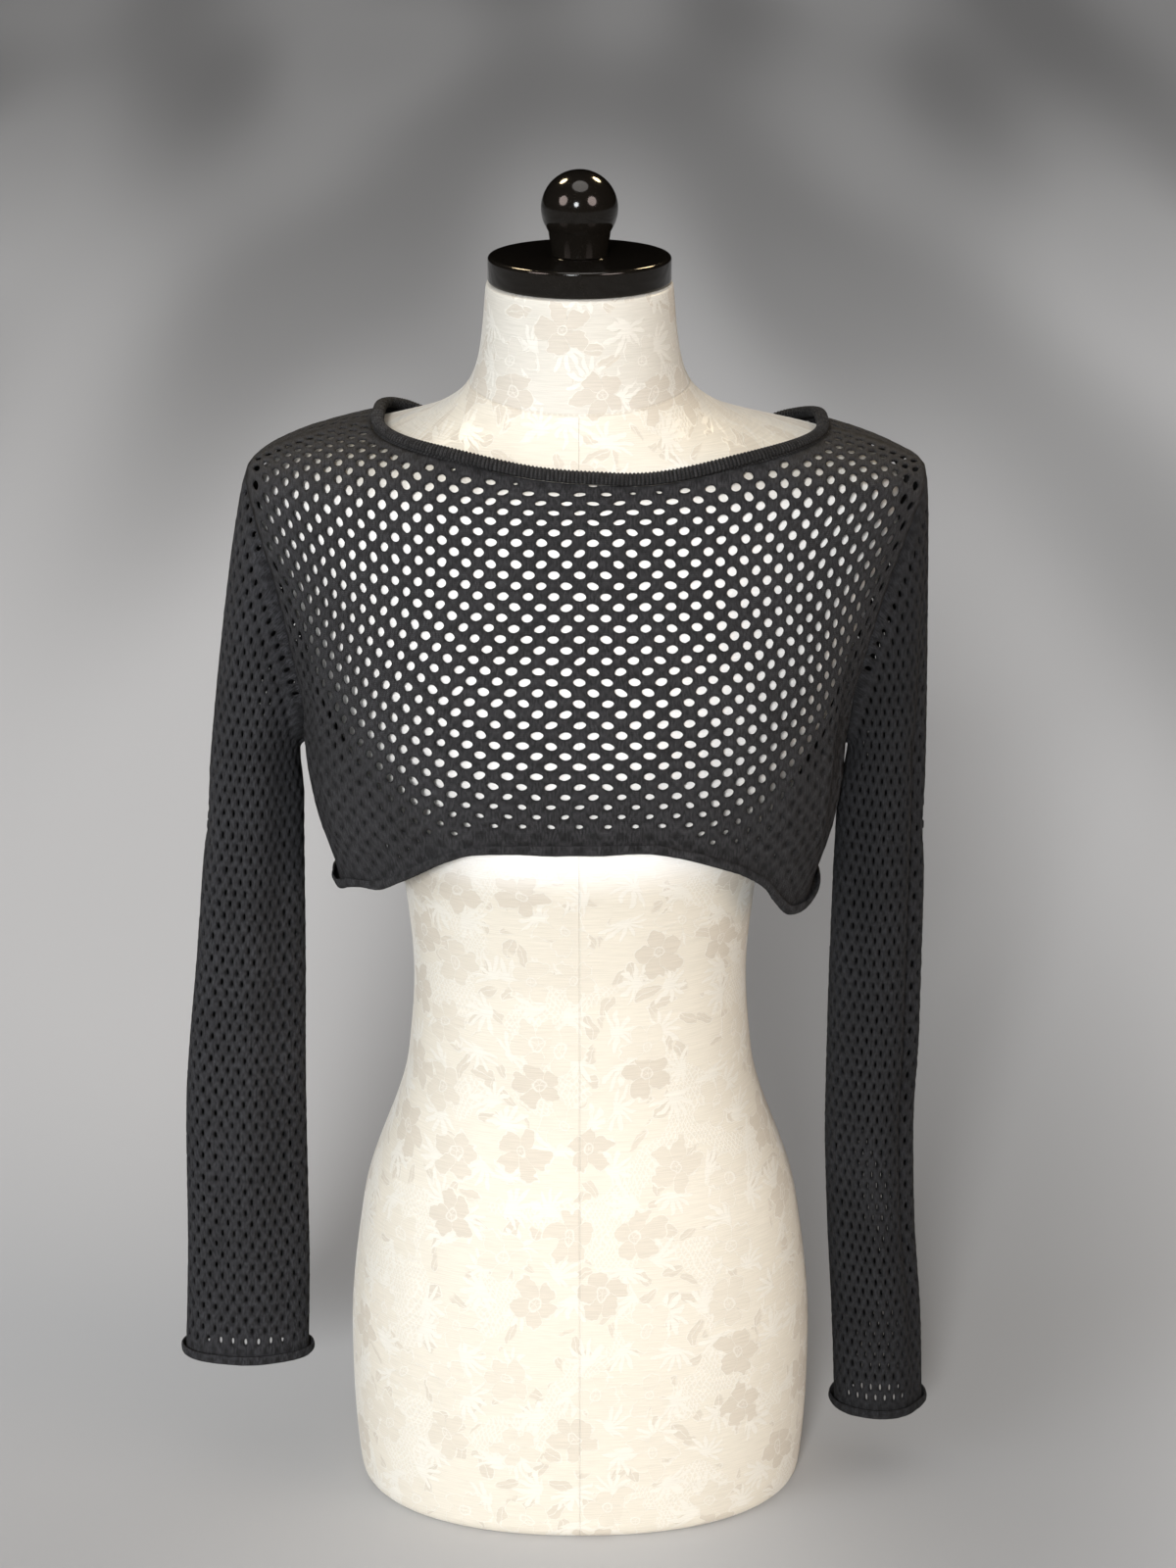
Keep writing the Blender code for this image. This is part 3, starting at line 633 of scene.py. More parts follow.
YARN_TONES = {
    # low, high, tone at low, tone at high
    # stitch: painted shade in the grooves between a stitch's strands, and painted highlight on their crowns
    "stitch": (0.0, 0.9, 0.25, 1.35),
    "heather": (0.3, 0.7, 0.50, 1.55),
    "fuzz": (0.3, 0.7, 0.75, 1.25),
    "cloud": (0.3, 0.7, 0.90, 1.10),
}
YARN_RELIEF = {"stitch": 0.00045, "heather": 0.0006, "fuzz": 0.0001}
PAINTED_PAD_LIGHT = 1.15         # painted highlight on the pads between the eyelets


def rounded(share, shape=ROUNDNESS):
    """The other coordinate of a unit superellipse."""
    return (1 - np.clip(np.abs(share), 0, 1) ** shape) ** (1 / shape)


def lerp(a, b, t):
    return a + (b - a) * t


def ease(t):
    t = np.clip(t, 0, 1)
    return t * t * (3 - 2 * t)


def soft_step(value, start, end):
    """A soft step from 0 at the start to 1 at the end."""
    return ease((value - start) / (end - start))


def unit(vectors):
    return vectors / np.maximum(np.linalg.norm(vectors, axis=-1, keepdims=True), 1e-12)


def spread_of_columns():
    """How far out the knit's columns lie, evenly spaced along a section's quarter."""
    angle = np.linspace(0, math.pi / 2, 400)
    x = np.sin(angle) ** (2 / ROUNDNESS)
    y = SECTION_FLATNESS * np.cos(angle) ** (2 / ROUNDNESS)
    lengths = path_lengths(np.stack([x, y], axis=1))
    return lengths / lengths[-1], x


SPREAD = spread_of_columns()
knit_left, knit_right, knit_front, knit_back = columns_of(KNIT_SECTIONS)
knit_depth = {"front": knit_front, "back": knit_back}
hem_height = {face: columns_of(table)[0] for face, table in HEM_LINES.items()}


def reach(side, z):
    """How far the closed knit body reaches at a height, to the left or the right."""
    return np.where(side < 0, knit_left(z), knit_right(z))


def armhole_depth(z):
    """How far an armhole's edge lies in front of its middle, and behind it, at a height."""
    return ARMHOLE_HALF * np.sqrt(np.clip(1 - ((z - ARMHOLE_MIDDLE) / ARMHOLE_RISE) ** 2, 0, 1))


def panel_edge(face, side, z):
    """The x of a panel's side seam and, above the underarm, of its armhole."""
    return side * reach(side, z) * rounded(armhole_depth(z) / knit_depth[face](z))


def column_x(face, p, z):
    """The x at a height of the knit columns that lie a share p of the way to the side, -1 to 1."""
    hanging = ease((SHOULDER_TIP - z) / (SHOULDER_TIP - UNDERARM))
    share = lerp(np.abs(p), np.interp(np.abs(p), *SPREAD), hanging)
    return panel_edge(face, np.sign(p), np.minimum(z, SHOULDER_TIP)) * share


def column_depth(face, p, z):
    """How far in front of the middle plane the columns lie, or behind it."""
    edge = np.maximum(armhole_depth(z), SEAM_GAP / 2)
    return np.where(np.abs(p) == 1, edge, knit_depth[face](z) * rounded(column_x(face, p, z) / reach(p, z)))


def panel_points(face, p, z):
    """Points at heights on a panel's columns."""
    y = column_depth(face, p, z) * (-1 if face == "front" else 1)
    return np.stack([column_x(face, p, z), y, z], axis=-1)


def neckline_x(count):
    """Places across the neckline, closer together toward its ends."""
    turn = np.cos(np.linspace(math.pi, 0, count + 1))
    return NECK_MIDDLE + NECK_HALF * signed_power(turn, 2 / NECK_SPREAD)


def neckline_depth(face, x):
    """The plan outline of the neckline at x and, beyond it, of the shoulder seam."""
    share = (x - NECK_MIDDLE) / NECK_HALF
    if face == "front":
        opening = NECK_DEPTH * rounded(share, np.where(share < 0, *NECK_SHAPE))
    else:
        opening = knit_back(NAPE_HEIGHT) * rounded(x / reach(x, NAPE_HEIGHT)) * rounded(share, NAPE_SHAPE)
    return np.maximum(opening, SEAM_GAP / 2)


def column_tops(face, p):
    """The heights at which columns meet the neckline, the shoulder seam or the shoulder's tip."""
    low, high = np.full_like(p, UNDERARM), np.full_like(p, KNIT_SECTIONS[-1][0])
    for _ in range(HALVINGS):
        middle = (low + high) / 2
        inside = column_depth(face, p, middle) > neckline_depth(face, column_x(face, p, middle))
        low, high = np.where(inside, middle, low), np.where(inside, high, middle)
    return np.where(np.abs(p) == 1, SHOULDER_TIP, low)


def knit_normals(points):
    """Outward directions of the closed knit body at points on it."""
    def level(x, y, z):
        deep = np.where(y < 0, knit_front(z), knit_back(z))
        return (np.abs(x) / reach(x, z)) ** ROUNDNESS + (np.abs(y) / deep) ** ROUNDNESS

    flat = points.reshape(-1, 3)
    slopes = []
    for axis in np.eye(3) * GRADIENT_STEP:
        slopes.append(level(*(flat + axis).T) - level(*(flat - axis).T))
    return unit(np.stack(slopes, axis=1)).reshape(points.shape)


class Drape:
    """How a flat pattern hangs. Its columns lie at given places across the pattern, each with its top and
    bottom as distances down from one level row, and holds points and outward directions at even steps."""

    def __init__(self, across, tops, bottoms, points, normals, roll_radius, roll_depth):
        self.across, self.tops, self.bottoms = across, tops, bottoms
        self.points, self.normals = points, normals
        self.roll_radius, self.roll_depth = roll_radius, roll_depth

    def top(self, across):
        return np.interp(across, self.across, self.tops)

    def bottom(self, across):
        return np.interp(across, self.across, self.bottoms)

    def read(self, table, across, share):
        """Linear reading of a table between its columns and steps."""
        steps = table.shape[0] - 1
        c = np.clip(np.searchsorted(self.across, across) - 1, 0, len(self.across) - 2)
        x = ((across - self.across[c]) / (self.across[c + 1] - self.across[c]))[:, None]
        down = np.clip(share, 0, 1) * steps
        r = np.minimum(down.astype(int), steps - 1)
        y = (down - r)[:, None]
        return lerp(lerp(table[r, c], table[r, c + 1], x), lerp(table[r + 1, c], table[r + 1, c + 1], x), y)

    def hang(self, places):
        """Points and outward directions of flat places, with the places past the bottom on the roll."""
        across, down = places.T
        top, bottom = self.top(across), self.bottom(across)
        share = (down - top) / (bottom - top)
        points, normals = self.read(self.points, across, share), unit(self.read(self.normals, across, share))
        turn = np.clip((down - bottom) / self.roll_radius, 0, None)[:, None]
        last = self.read(self.points, across, np.ones_like(across))
        before = self.read(self.points, across, np.ones_like(across) - 0.01)
        fall = unit(last - before)
        out = unit(self.read(self.normals, across, np.ones_like(across)))
        fall = unit(fall - out * np.sum(fall * out, axis=1, keepdims=True))
        rolled = last + self.roll_radius * np.sin(turn) * fall + self.roll_depth * (1 - np.cos(turn)) * out
        rolled_normals = unit(self.roll_radius * np.cos(turn) * out - self.roll_depth * np.sin(turn) * fall)
        past = turn > 0
        return np.where(past, rolled, points), np.where(past, rolled_normals, normals)


def along_path(path, lengths, places):
    """Points at distances along a path."""
    return np.stack([np.interp(places, lengths, values) for values in path.T], axis=1)


def even_columns(paths, count, level_of):
    """Even steps down columns, and the tops and bottoms of these as distances down from the level row."""
    points, tops, bottoms = [], [], []
    for path in paths.transpose(1, 0, 2):
        lengths = path_lengths(path)
        level = level_of(path, lengths)
        tops.append(-level)
        bottoms.append(lengths[-1] - level)
        points.append(along_path(path, lengths, np.linspace(0, 1, count) * lengths[-1]))
    return np.array(points).transpose(1, 0, 2), np.array(tops), np.array(bottoms)


def panel_drape(face):
    """The drape of the front or the back."""
    x = neckline_x(NECK_COLUMNS)
    neck = x / reach(x, SHOULDER_TIP)
    p = np.concatenate([np.linspace(-1, neck[0], SHOULDER_COLUMNS + 1), neck[1:-1],
                        np.linspace(neck[-1], 1, SHOULDER_COLUMNS + 1)])
    even = np.linspace(-1, 1, 2001)
    across = np.interp(p, even + COLUMN_DRIFT * np.sin(math.pi * even) / math.pi, even) * HALF_PANEL
    tops = column_tops(face, p)
    bottoms = hem_height[face](np.sign(p) * np.interp(np.abs(p), *SPREAD)) + ROLL_RADIUS + WALL / 2
    z = tops - (tops - bottoms) * (np.linspace(0, 1, COLUMN_SAMPLES) ** 2)[:, None]

    def level_of(path, lengths):
        return np.interp(-REFERENCE_HEIGHT, -path[:, 2], lengths)

    points, tops, bottoms = even_columns(panel_points(face, p, z), PANEL_STEPS + 1, level_of)
    normals = knit_normals(points)
    normals[:, :, 1] *= ease(np.abs(points[:, :, 1]) / RIDGE_HALF)
    return Drape(across, tops, bottoms, points, unit(normals), ROLL_RADIUS, ROLL_DEPTH)


def eyelet_rings(middles, widths, heights, count, point, seed):
    """Rings of flat places round eyelets."""
    rng = np.random.default_rng(seed)
    angles = np.linspace(0, 2 * math.pi, count, endpoint=False)
    x, y = signed_power(np.cos(angles), 2 / point), signed_power(np.sin(angles), 2 / point)
    rough = rng.standard_normal((len(middles), count))
    uneven = 1 + RING_UNEVEN * (rough + np.roll(rough, 1, axis=1) + np.roll(rough, -1, axis=1))
    lean = RING_LEAN * rng.standard_normal((len(middles), 1))
    across = x * widths[:, None] / 2 * uneven
    down = y * heights[:, None] / 2 * uneven + lean * across
    return middles[:, None] + np.stack([across, down], axis=-1)


def grown(rings, middles, distance):
    """Rings a little outside other rings."""
    out = rings - middles[:, None]
    length = np.linalg.norm(out, axis=-1, keepdims=True)
    return middles[:, None] + out * (1 + distance / length)


def nearest(places, others):
    """The distance from each place to the nearest of others."""
    found = np.full(len(places), np.inf)
    for start in range(0, len(others), 200):
        gap = places[:, None] - others[None, start:start + 200]
        found = np.minimum(found, np.sqrt(np.min(np.sum(gap * gap, axis=-1), axis=1)))
    return found


def cut_flat(drape, roll, outline, rings, fill):
    """Flat places and triangles of a pattern without its eyelets, and which places lie on their rims."""
    rings_start = len(outline)
    fill_start = rings_start + rings.shape[0] * rings.shape[1]
    places = np.vstack([outline, rings.reshape(-1, 2), fill])
    loops = [np.arange(len(outline))]
    loops += list(np.arange(rings_start, fill_start).reshape(rings.shape[:2]))
    edges = np.vstack([np.stack([loop, np.roll(loop, -1)], axis=1) for loop in loops])
    found = delaunay_2d_cdt([Vector(place) for place in places], edges.tolist(), [], 0, 1e-7, True)
    flat, triangles = np.array([tuple(v) for v in found[0]]), np.array(found[2])
    source = np.array([origin[0] if origin else -1 for origin in found[3]])
    on_ring = (source >= rings_start) & (source < fill_start)
    ring = np.where(on_ring, (source - rings_start) // rings.shape[1], -1)
    of_ring = ring[triangles]
    hole = (of_ring[:, 0] >= 0) & (of_ring[:, 0] == of_ring[:, 1]) & (of_ring[:, 1] == of_ring[:, 2])
    corners = flat[triangles]
    across, down = corners.mean(axis=1).T
    kept = ~hole & (down > drape.top(across)) & (down < drape.bottom(across) + roll)
    ab, ac = corners[:, 1] - corners[:, 0], corners[:, 2] - corners[:, 0]
    area = ab[:, 0] * ac[:, 1] - ab[:, 1] * ac[:, 0]
    triangles = np.where((area > 0)[:, None], triangles[:, ::-1], triangles)
    return flat, triangles[kept & (np.abs(area) > 1e-12)], on_ring


def walled(name, points, normals, thickness, faces, places):
    """A knit wall: a layer's points moved out and in by half its thickness, with a rim round every edge and
    eyelet. The faces look outward, and their corners have flat places."""
    count = len(points)
    half = normals * (thickness / 2)[:, None]
    edges = np.stack([faces, np.roll(faces, -1, axis=1)], axis=-1).reshape(-1, 2)
    ends = np.stack([places, np.roll(places, -1, axis=1)], axis=2).reshape(-1, 2, 2)
    low, high = edges.min(axis=1), edges.max(axis=1)
    _, first, uses = np.unique(low * count + high, return_index=True, return_counts=True)
    rim = first[uses == 1]
    a, b = edges[rim].T
    at_a, at_b = ends[rim, 0], ends[rim, 1]
    rims = np.stack([b, a, a + count, b + count], axis=1)
    rim_places = np.stack([at_b, at_a, at_a, at_b], axis=1)
    groups = [(faces, places), (faces[:, ::-1] + count, places[:, ::-1]), (rims, rim_places)]
    return mesh_of(name, np.vstack([points + half, points - half]), groups)


def soft_noise(places, seed, size):
    """Smooth uneven values, about -1 to 1, from a few waves of about one size."""
    rng = np.random.default_rng(seed)
    total = np.zeros(len(places))
    for _ in range(NOISE_WAVES):
        direction, phase = rng.uniform(0, 2 * math.pi, 2)
        wave = 2 * math.pi / size * rng.uniform(0.6, 1.6)
        run = places[:, 0] * math.cos(direction) + places[:, 1] * math.sin(direction)
        total += np.sin(wave * run + phase)
    return total / (NOISE_WAVES / 2)


def creased(places, creases):
    """How far soft troughs and ridges move the cloth out at flat places."""
    moved = np.zeros(len(places))
    for across, down, far_across, far_down, width, depth in creases:
        start, end = np.array([across, down]), np.array([far_across, far_down])
        run = end - start
        share = np.clip((places - start) @ run / (run @ run), 0, 1)
        gap = np.linalg.norm(places - start - share[:, None] * run, axis=1)
        fade = ease(np.minimum(share, 1 - share) / 0.3 + 0.25)
        moved += depth * fade * np.exp(-(gap / width) ** 2)
    return moved


def row_bend(across, down):
    """How the rows crowd toward the neckline's middle and spread toward the hem's ends."""
    share = np.abs(across) / HALF_PANEL
    return np.where(down < 0, NECK_CROWDING * (1 - ease(share / 0.6)), SIDE_SPREADING * share ** 2)


def even_rows(places):
    """Flat places with their distances down undone of the rows' bending, so that rows lie at even steps."""
    across, down = places.T
    bend = np.maximum(row_bend(across, down), 1e-9)
    even = (np.sqrt(np.maximum(1 + 4 * bend * down, 0.01)) - 1) / (2 * bend)
    return np.stack([across, even], axis=1)


def off_form(points):
    """How far points lie off the covered torso, level with it."""
    x, y, z = points.T
    half, front, back = (read(z) for read in columns_of(FORM_SECTIONS))
    deep = np.where(y < 0, front, back)
    times = ((np.abs(x) / half) ** ROUNDNESS + (np.abs(y) / deep) ** ROUNDNESS) ** (1 / ROUNDNESS)
    return (1 - 1 / times) * np.hypot(x, y)


def eyelet_places(drape):
    """The middles, widths and heights of a panel's eyelets. Where the knit hangs off the form it isn't
    stretched, and they close to slits."""
    middles = []
    for row in range(*EYELET_ROWS):
        columns = np.arange(-math.floor(EYELET_COLUMNS), math.floor(EYELET_COLUMNS) + 1.0) + 0.5 * (row % 2)
        across = columns / EYELET_COLUMNS * HALF_PANEL
        rank = np.full_like(across, row * ROW_PITCH)
        middles.append(np.stack([across, rank * (1 + row_bend(across, rank) * rank)], axis=1))
    middles = np.vstack(middles)
    across, down = middles.T
    inside = (down > drape.top(across)) & (down < drape.bottom(across) - HEM_BAND)
    middles = middles[inside & (np.abs(across) < HALF_PANEL)]
    across, down = middles.T
    share, table = np.abs(across) / HALF_PANEL, np.array(EYELETS)
    hung = drape.hang(middles)[0]
    slack = soft_step(off_form(hung), *OFF_FORM) * soft_step(hung[:, 2], *SLACK_HEIGHTS)
    widths = lerp(np.interp(share, table[:, 0], table[:, 1]), SLACK_EYELET[0], slack)
    heights = lerp(np.interp(share, table[:, 0], table[:, 2]), SLACK_EYELET[1], slack)
    tight = (1 - ease((down - drape.top(across)) / TIGHT_ROWS)) * (1 - ease(share / 0.6))
    loose = 1 - ease((drape.bottom(across) - HEM_BAND - down) / LOOSE_ROWS)
    widths = widths * (1 - LOOSE_SHRINK[0] * loose)
    return middles, widths, heights * (1 - TIGHT_SHRINK * tight) * (1 - LOOSE_SHRINK[1] * loose)


def strip(start, end, step):
    """Even steps between two values, both kept."""
    return np.linspace(start, end, max(2, round(abs(end - start) / step) + 1))


def pattern_outline(drape, roll):
    """The flat pattern's closed outline: down the left edge, along the roll's end, up the right edge and
    back along the top."""
    left, right = drape.across[0], drape.across[-1]
    outline = []
    for edge in (left, right):
        top, bottom = drape.top(edge), drape.bottom(edge)
        down = np.concatenate([strip(top, bottom, EDGE_STEP)[:-1], strip(bottom, bottom + roll, ROLL_STEP)])
        outline.append(np.stack([np.full_like(down, edge), down], axis=1))
    across = strip(left, right, FILL_STEP)[1:-1]
    hem = np.stack([across, drape.bottom(across) + roll], axis=1)
    top = np.stack([drape.across, drape.tops], axis=1)[1:-1]
    return np.vstack([outline[0], hem, outline[1][::-1], top[::-1]])


def fill_places(drape, roll, band, avoid, keep_off, outline):
    """Places between the eyelets, on the plain band and on the roll."""
    left, right = drape.across[0], drape.across[-1]
    rng = np.random.default_rng(11)
    across = strip(left, right, FILL_STEP)[1:-1]
    down = np.arange(drape.tops.min(), drape.bottoms.max(), FILL_STEP)
    loose = np.stack(np.meshgrid(across, down), axis=-1)
    loose[1::2, :, 0] += FILL_STEP / 2
    loose = loose.reshape(-1, 2) + rng.uniform(-FILL_JITTER, FILL_JITTER, (loose.size // 2, 2))
    x, y = loose.T
    inside = (x > left) & (x < right) & (y > drape.top(x)) & (y < drape.bottom(x) - band)
    loose = loose[inside]
    loose = loose[nearest(loose, avoid) > keep_off]
    loose = loose[nearest(loose, outline) > EDGE_STEP * 0.7]
    levels = np.concatenate([strip(-band, 0, FILL_STEP * 0.8)[:-1], strip(0, roll, ROLL_STEP)[:-1]])
    near = np.stack(np.meshgrid(across, levels), axis=-1).reshape(-1, 2)
    near[:, 1] += drape.bottom(near[:, 0])
    near = near[nearest(near, outline) > ROLL_STEP * 0.7]
    return np.vstack([loose, near])


def cut_pattern(drape, roll, band, outline, middles, rings, keep_off):
    """A pattern cut through with its eyelets, with places set between them that keep off their middles."""
    guards = grown(rings, middles, GUARD).reshape(-1, 2)
    fill = fill_places(drape, roll, band, middles, keep_off, outline)
    fill = fill[nearest(fill, guards) > FILL_ROOM]
    guards = guards[np.abs(guards[:, 0]) < drape.across[-1] - SEAM_ROOM]
    return cut_flat(drape, roll, outline, rings, np.vstack([guards, fill]))


PANEL_CREASES = {
    # across, down, far across, far down, width, depth
    "front": ((-0.215, 0.050, -0.205, 0.190, 0.007, -0.0022), (-0.190, 0.110, -0.178, 0.200, 0.008, 0.0018),
              (-0.232, 0.120, -0.222, 0.215, 0.006, 0.0020), (0.214, 0.060, 0.204, 0.200, 0.007, -0.0020),
              (0.188, 0.120, 0.182, 0.215, 0.008, 0.0018), (0.232, 0.110, 0.222, 0.215, 0.006, 0.0022),
              (-0.120, 0.165, -0.060, 0.188, 0.008, 0.0014), (0.130, 0.150, 0.165, 0.205, 0.009, 0.0016),
              (-0.030, 0.186, 0.060, 0.190, 0.007, -0.0010)),
    "back": ((-0.210, 0.060, -0.170, 0.200, 0.010, 0.0022), (0.205, 0.050, 0.175, 0.190, 0.010, 0.0020),
             (-0.110, 0.120, -0.095, 0.225, 0.012, 0.0024), (0.095, 0.130, 0.110, 0.225, 0.012, 0.0022),
             (-0.015, 0.150, 0.020, 0.225, 0.013, 0.0020), (-0.060, 0.020, 0.060, 0.030, 0.011, -0.0010)),
}
HEM_ROLL = ROLL_RADIUS * ROLL_TURN


def put_yarn(obj, name, colour, column_pitch, row_pitch, pads, painted_valley_shade=0.55):
    """Plain stitch in heathered cotton yarn: columns of small Vs, from the panel's own flat places, and the
    pads that stand up between the eyelets, by a height in metres. Painted shade darkens the valleys between
    them and the grooves between the Vs' strands, and painted highlight lightens the pads and the strands."""
    tree = new_material(obj, name, colour, specular=0.12, roughness=0.92, sheen=0.03, sheen_roughness=0.6)
    flat, place = nodes(tree, "UVMap", uv_map="flat")[0], nodes(tree, "TexCoord")[3]
    across, down, _ = parts_of(flat)
    arm = (across * (1 / WALE)).math("PINGPONG", 0.5) * 2.0
    strand = (down * (1 / COURSE) - arm * SLANT).math("PINGPONG", 0.5) * 2.0
    crown = (arm * 2.0 - 1.0) ** 2.0 * -1.0 + 1.0
    columns = (across * (2 * math.pi / column_pitch)).math("COSINE")
    rows = (down * (math.pi / row_pitch)).math("COSINE")
    pad = columns * rows * -0.5 + 0.5
    yarn = {
        "stitch": strand ** STRAND_SHAPE * (crown * CROWN_RISE + (1 - CROWN_RISE)),
        "heather": noise(flat.vector("MULTIPLY", HEATHER), scale=1.0, detail=2.0),
        "fuzz": noise(place, scale=1300.0, detail=2.0),
        "cloud": noise(place, scale=26.0, detail=2.0),
    }
    # painted shade in the valleys between the pads, and painted highlight on the pads
    tone = pad.between(0.0, 0.7, painted_valley_shade, PAINTED_PAD_LIGHT)
    for part, ends in YARN_TONES.items():
        tone = tone * yarn[part].between(*ends)
    height = sum((yarn[part] * relief for part, relief in YARN_RELIEF.items()), pad * pads)
    link_shader(tree, Base_Color=toned(colour, tone), Normal=bump(height))


def knit_panel(face, seed):
    """The front or the back, cut through with its eyelets."""
    drape = panel_drape(face)
    outline = pattern_outline(drape, HEM_ROLL)
    middles, widths, heights = eyelet_places(drape)
    half = np.maximum(widths, heights) / 2
    room = nearest(middles, outline) - CLEARANCE - GUARD
    fits = room > LEAST_ROOM
    middles, widths, heights, half, room = (x[fits] for x in (middles, widths, heights, half, room))
    shrunk = np.minimum(1, room / half)
    rings = eyelet_rings(middles, widths * shrunk, heights * shrunk, RING_POINTS, EYELET_POINT, seed)
    flat, triangles, rim = cut_pattern(drape, HEM_ROLL, HEM_BAND - BAND_LAP, outline, middles, rings,
                                       keep_off=0.0056)
    points, normals = drape.hang(flat)
    even, uneven = PANEL_PUFF
    puff = even + uneven * soft_noise(flat, seed, FINE_SIZE) + creased(flat, PANEL_CREASES[face])
    height, size = PANEL_WAVES
    puff += height * soft_noise(flat, seed + 1, size) * soft_step(flat[:, 1], *WAVES_FROM)
    points = points + normals * np.where(rim, -even, puff)[:, None]
    thickness = np.where(rim, KNIT * RIM_SHARE, KNIT)
    places = even_rows(flat)[triangles]
    if face == "back":
        triangles, places = triangles[:, ::-1], places[:, ::-1]
    obj = walled(face + "_knit", points, normals, thickness, triangles, places)
    put_yarn(obj, face + "_yarn", CHARCOAL, HALF_PANEL / EYELET_COLUMNS, ROW_PITCH, 0.0004)
    return obj


front = knit_panel("front", 3)
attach(front, "root")
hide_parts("front")

# ---- The back
# The same knit, cut level at the hem and lower at the neck than the shoulders, which hide it from the front.
# The shoulder and side seams join it to the front.
back = knit_panel("back", 5)
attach(back, "root")
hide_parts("back")

# ---- The sleeves
# Two long tubes of the same knit with narrow upright eyelets, each sewn in all round its armhole and along
# the underarm. They hang empty, and their last rows curl outward at the cuff.
CUFF_ROLL = 0.0040
CUFF_DEPTH = 0.0019
SLEEVE_SECTIONS = {
    # height, outer x, inner x, half depth, share of the folds
    "left": ((0.078, -0.2545, -0.1765, 0.0205, 0.2),
             (0.160, -0.2510, -0.1745, 0.0210, 0.5),
             (0.242, -0.2495, -0.1745, 0.0220, 0.8),
             (0.362, -0.2385, -0.1725, 0.0265, 1.0),
             (0.440, -0.2312, -0.1718, 0.0285, 0.8),
             (0.494, -0.2262, -0.1692, 0.0300, 0.3)),
    "right": ((0.042, 0.2215, 0.1660, 0.0250, 0.2),
              (0.098, 0.2195, 0.1635, 0.0260, 0.4),
              (0.180, 0.2132, 0.1585, 0.0270, 0.8),
              (0.242, 0.2113, 0.1563, 0.0275, 0.9),
              (0.300, 0.2134, 0.1565, 0.0280, 1.0),
              (0.390, 0.2137, 0.1580, 0.0290, 1.0),
              (0.440, 0.2135, 0.1595, 0.0300, 0.9),
              (0.494, 0.2122, 0.1628, 0.0310, 0.7)),
}
SLEEVE_FOLDS = {
    # place round the tube, half width, both in degrees, and depth
    "left": ((68, 20, 0.0030), (128, 22, 0.0036), (250, 26, 0.0040)),
    "right": ((32, 17, 0.0085), (118, 24, 0.0030), (262, 26, 0.0040)),
}
SLEEVE_JOIN = 0.454
SLEEVE_LEAD = 0.014
LEAD_SHARE = 0.3
FALL_SHARE = 0.5
HALF_SLEEVE = 0.100     # a sleeve's flat half width
SLEEVE_FLATNESS = 0.65
SLEEVE_COLUMNS = 192    # of the drape
SLIT_COLUMNS = 24
SLIT_ROWS = (-36, 60)
SLIT_PITCH = 0.0075     # of the half rows
SLIT_WIDTH = 0.0018
HIDDEN_SLIT = 0.0006    # width on the side away from the viewer, which hangs slack
SLIT_HEIGHT = 0.0046
SLIT_POINTS = 8
CUFF_BAND = 0.006
CUFF_LAP = 0.002
SLIT_MARGINS = (0.0022, 0.0040)     # from the underarm seam, and from the armhole's
SEAM_FADE = 0.004       # over which the puff fades toward the underarm seam
SLEEVE_HEAD_STEPS = 120     # down a sleeve to its join
SLEEVE_TUBE_STEPS = 200     # and from there down
SLEEVE_STEPS = 400      # and even steps down all of it
SLEEVE_PUFF = (0.0003, 0.00015)
SLEEVE_RIM_SHARE = 0.55
SIDES = {"left": -1.0, "right": 1.0}
sleeve_tables = {name: columns_of(table) for name, table in SLEEVE_SECTIONS.items()}


def sleeve_ring(name, z, angles):
    """A sleeve's middle layer at one height below the underarm."""
    outer, inner, depth, folding = [read(z) for read in sleeve_tables[name]]
    pinch = np.ones_like(angles)
    for place, width, deep in SLEEVE_FOLDS[name]:
        pinch -= folding * deep / depth * np.exp(-((np.degrees(angles) - place) / width) ** 2)
    x = (outer + inner) / 2 + (outer - inner) / 2 * np.cos(angles) * pinch
    return np.stack([x, -depth * np.sin(angles) * pinch, np.full_like(x, z)], axis=1)


def armhole_ring(name, angles):
    """An armhole's edge, from the shoulder's tip round by the front."""
    z = ARMHOLE_MIDDLE + ARMHOLE_RISE * np.cos(angles)
    edges = {face: panel_edge(face, SIDES[name], z) for face in ("front", "back")}
    x = np.where(np.sin(angles) > 0, edges["front"], edges["back"])
    return np.stack([x, -ARMHOLE_HALF * np.sin(angles), z], axis=1)


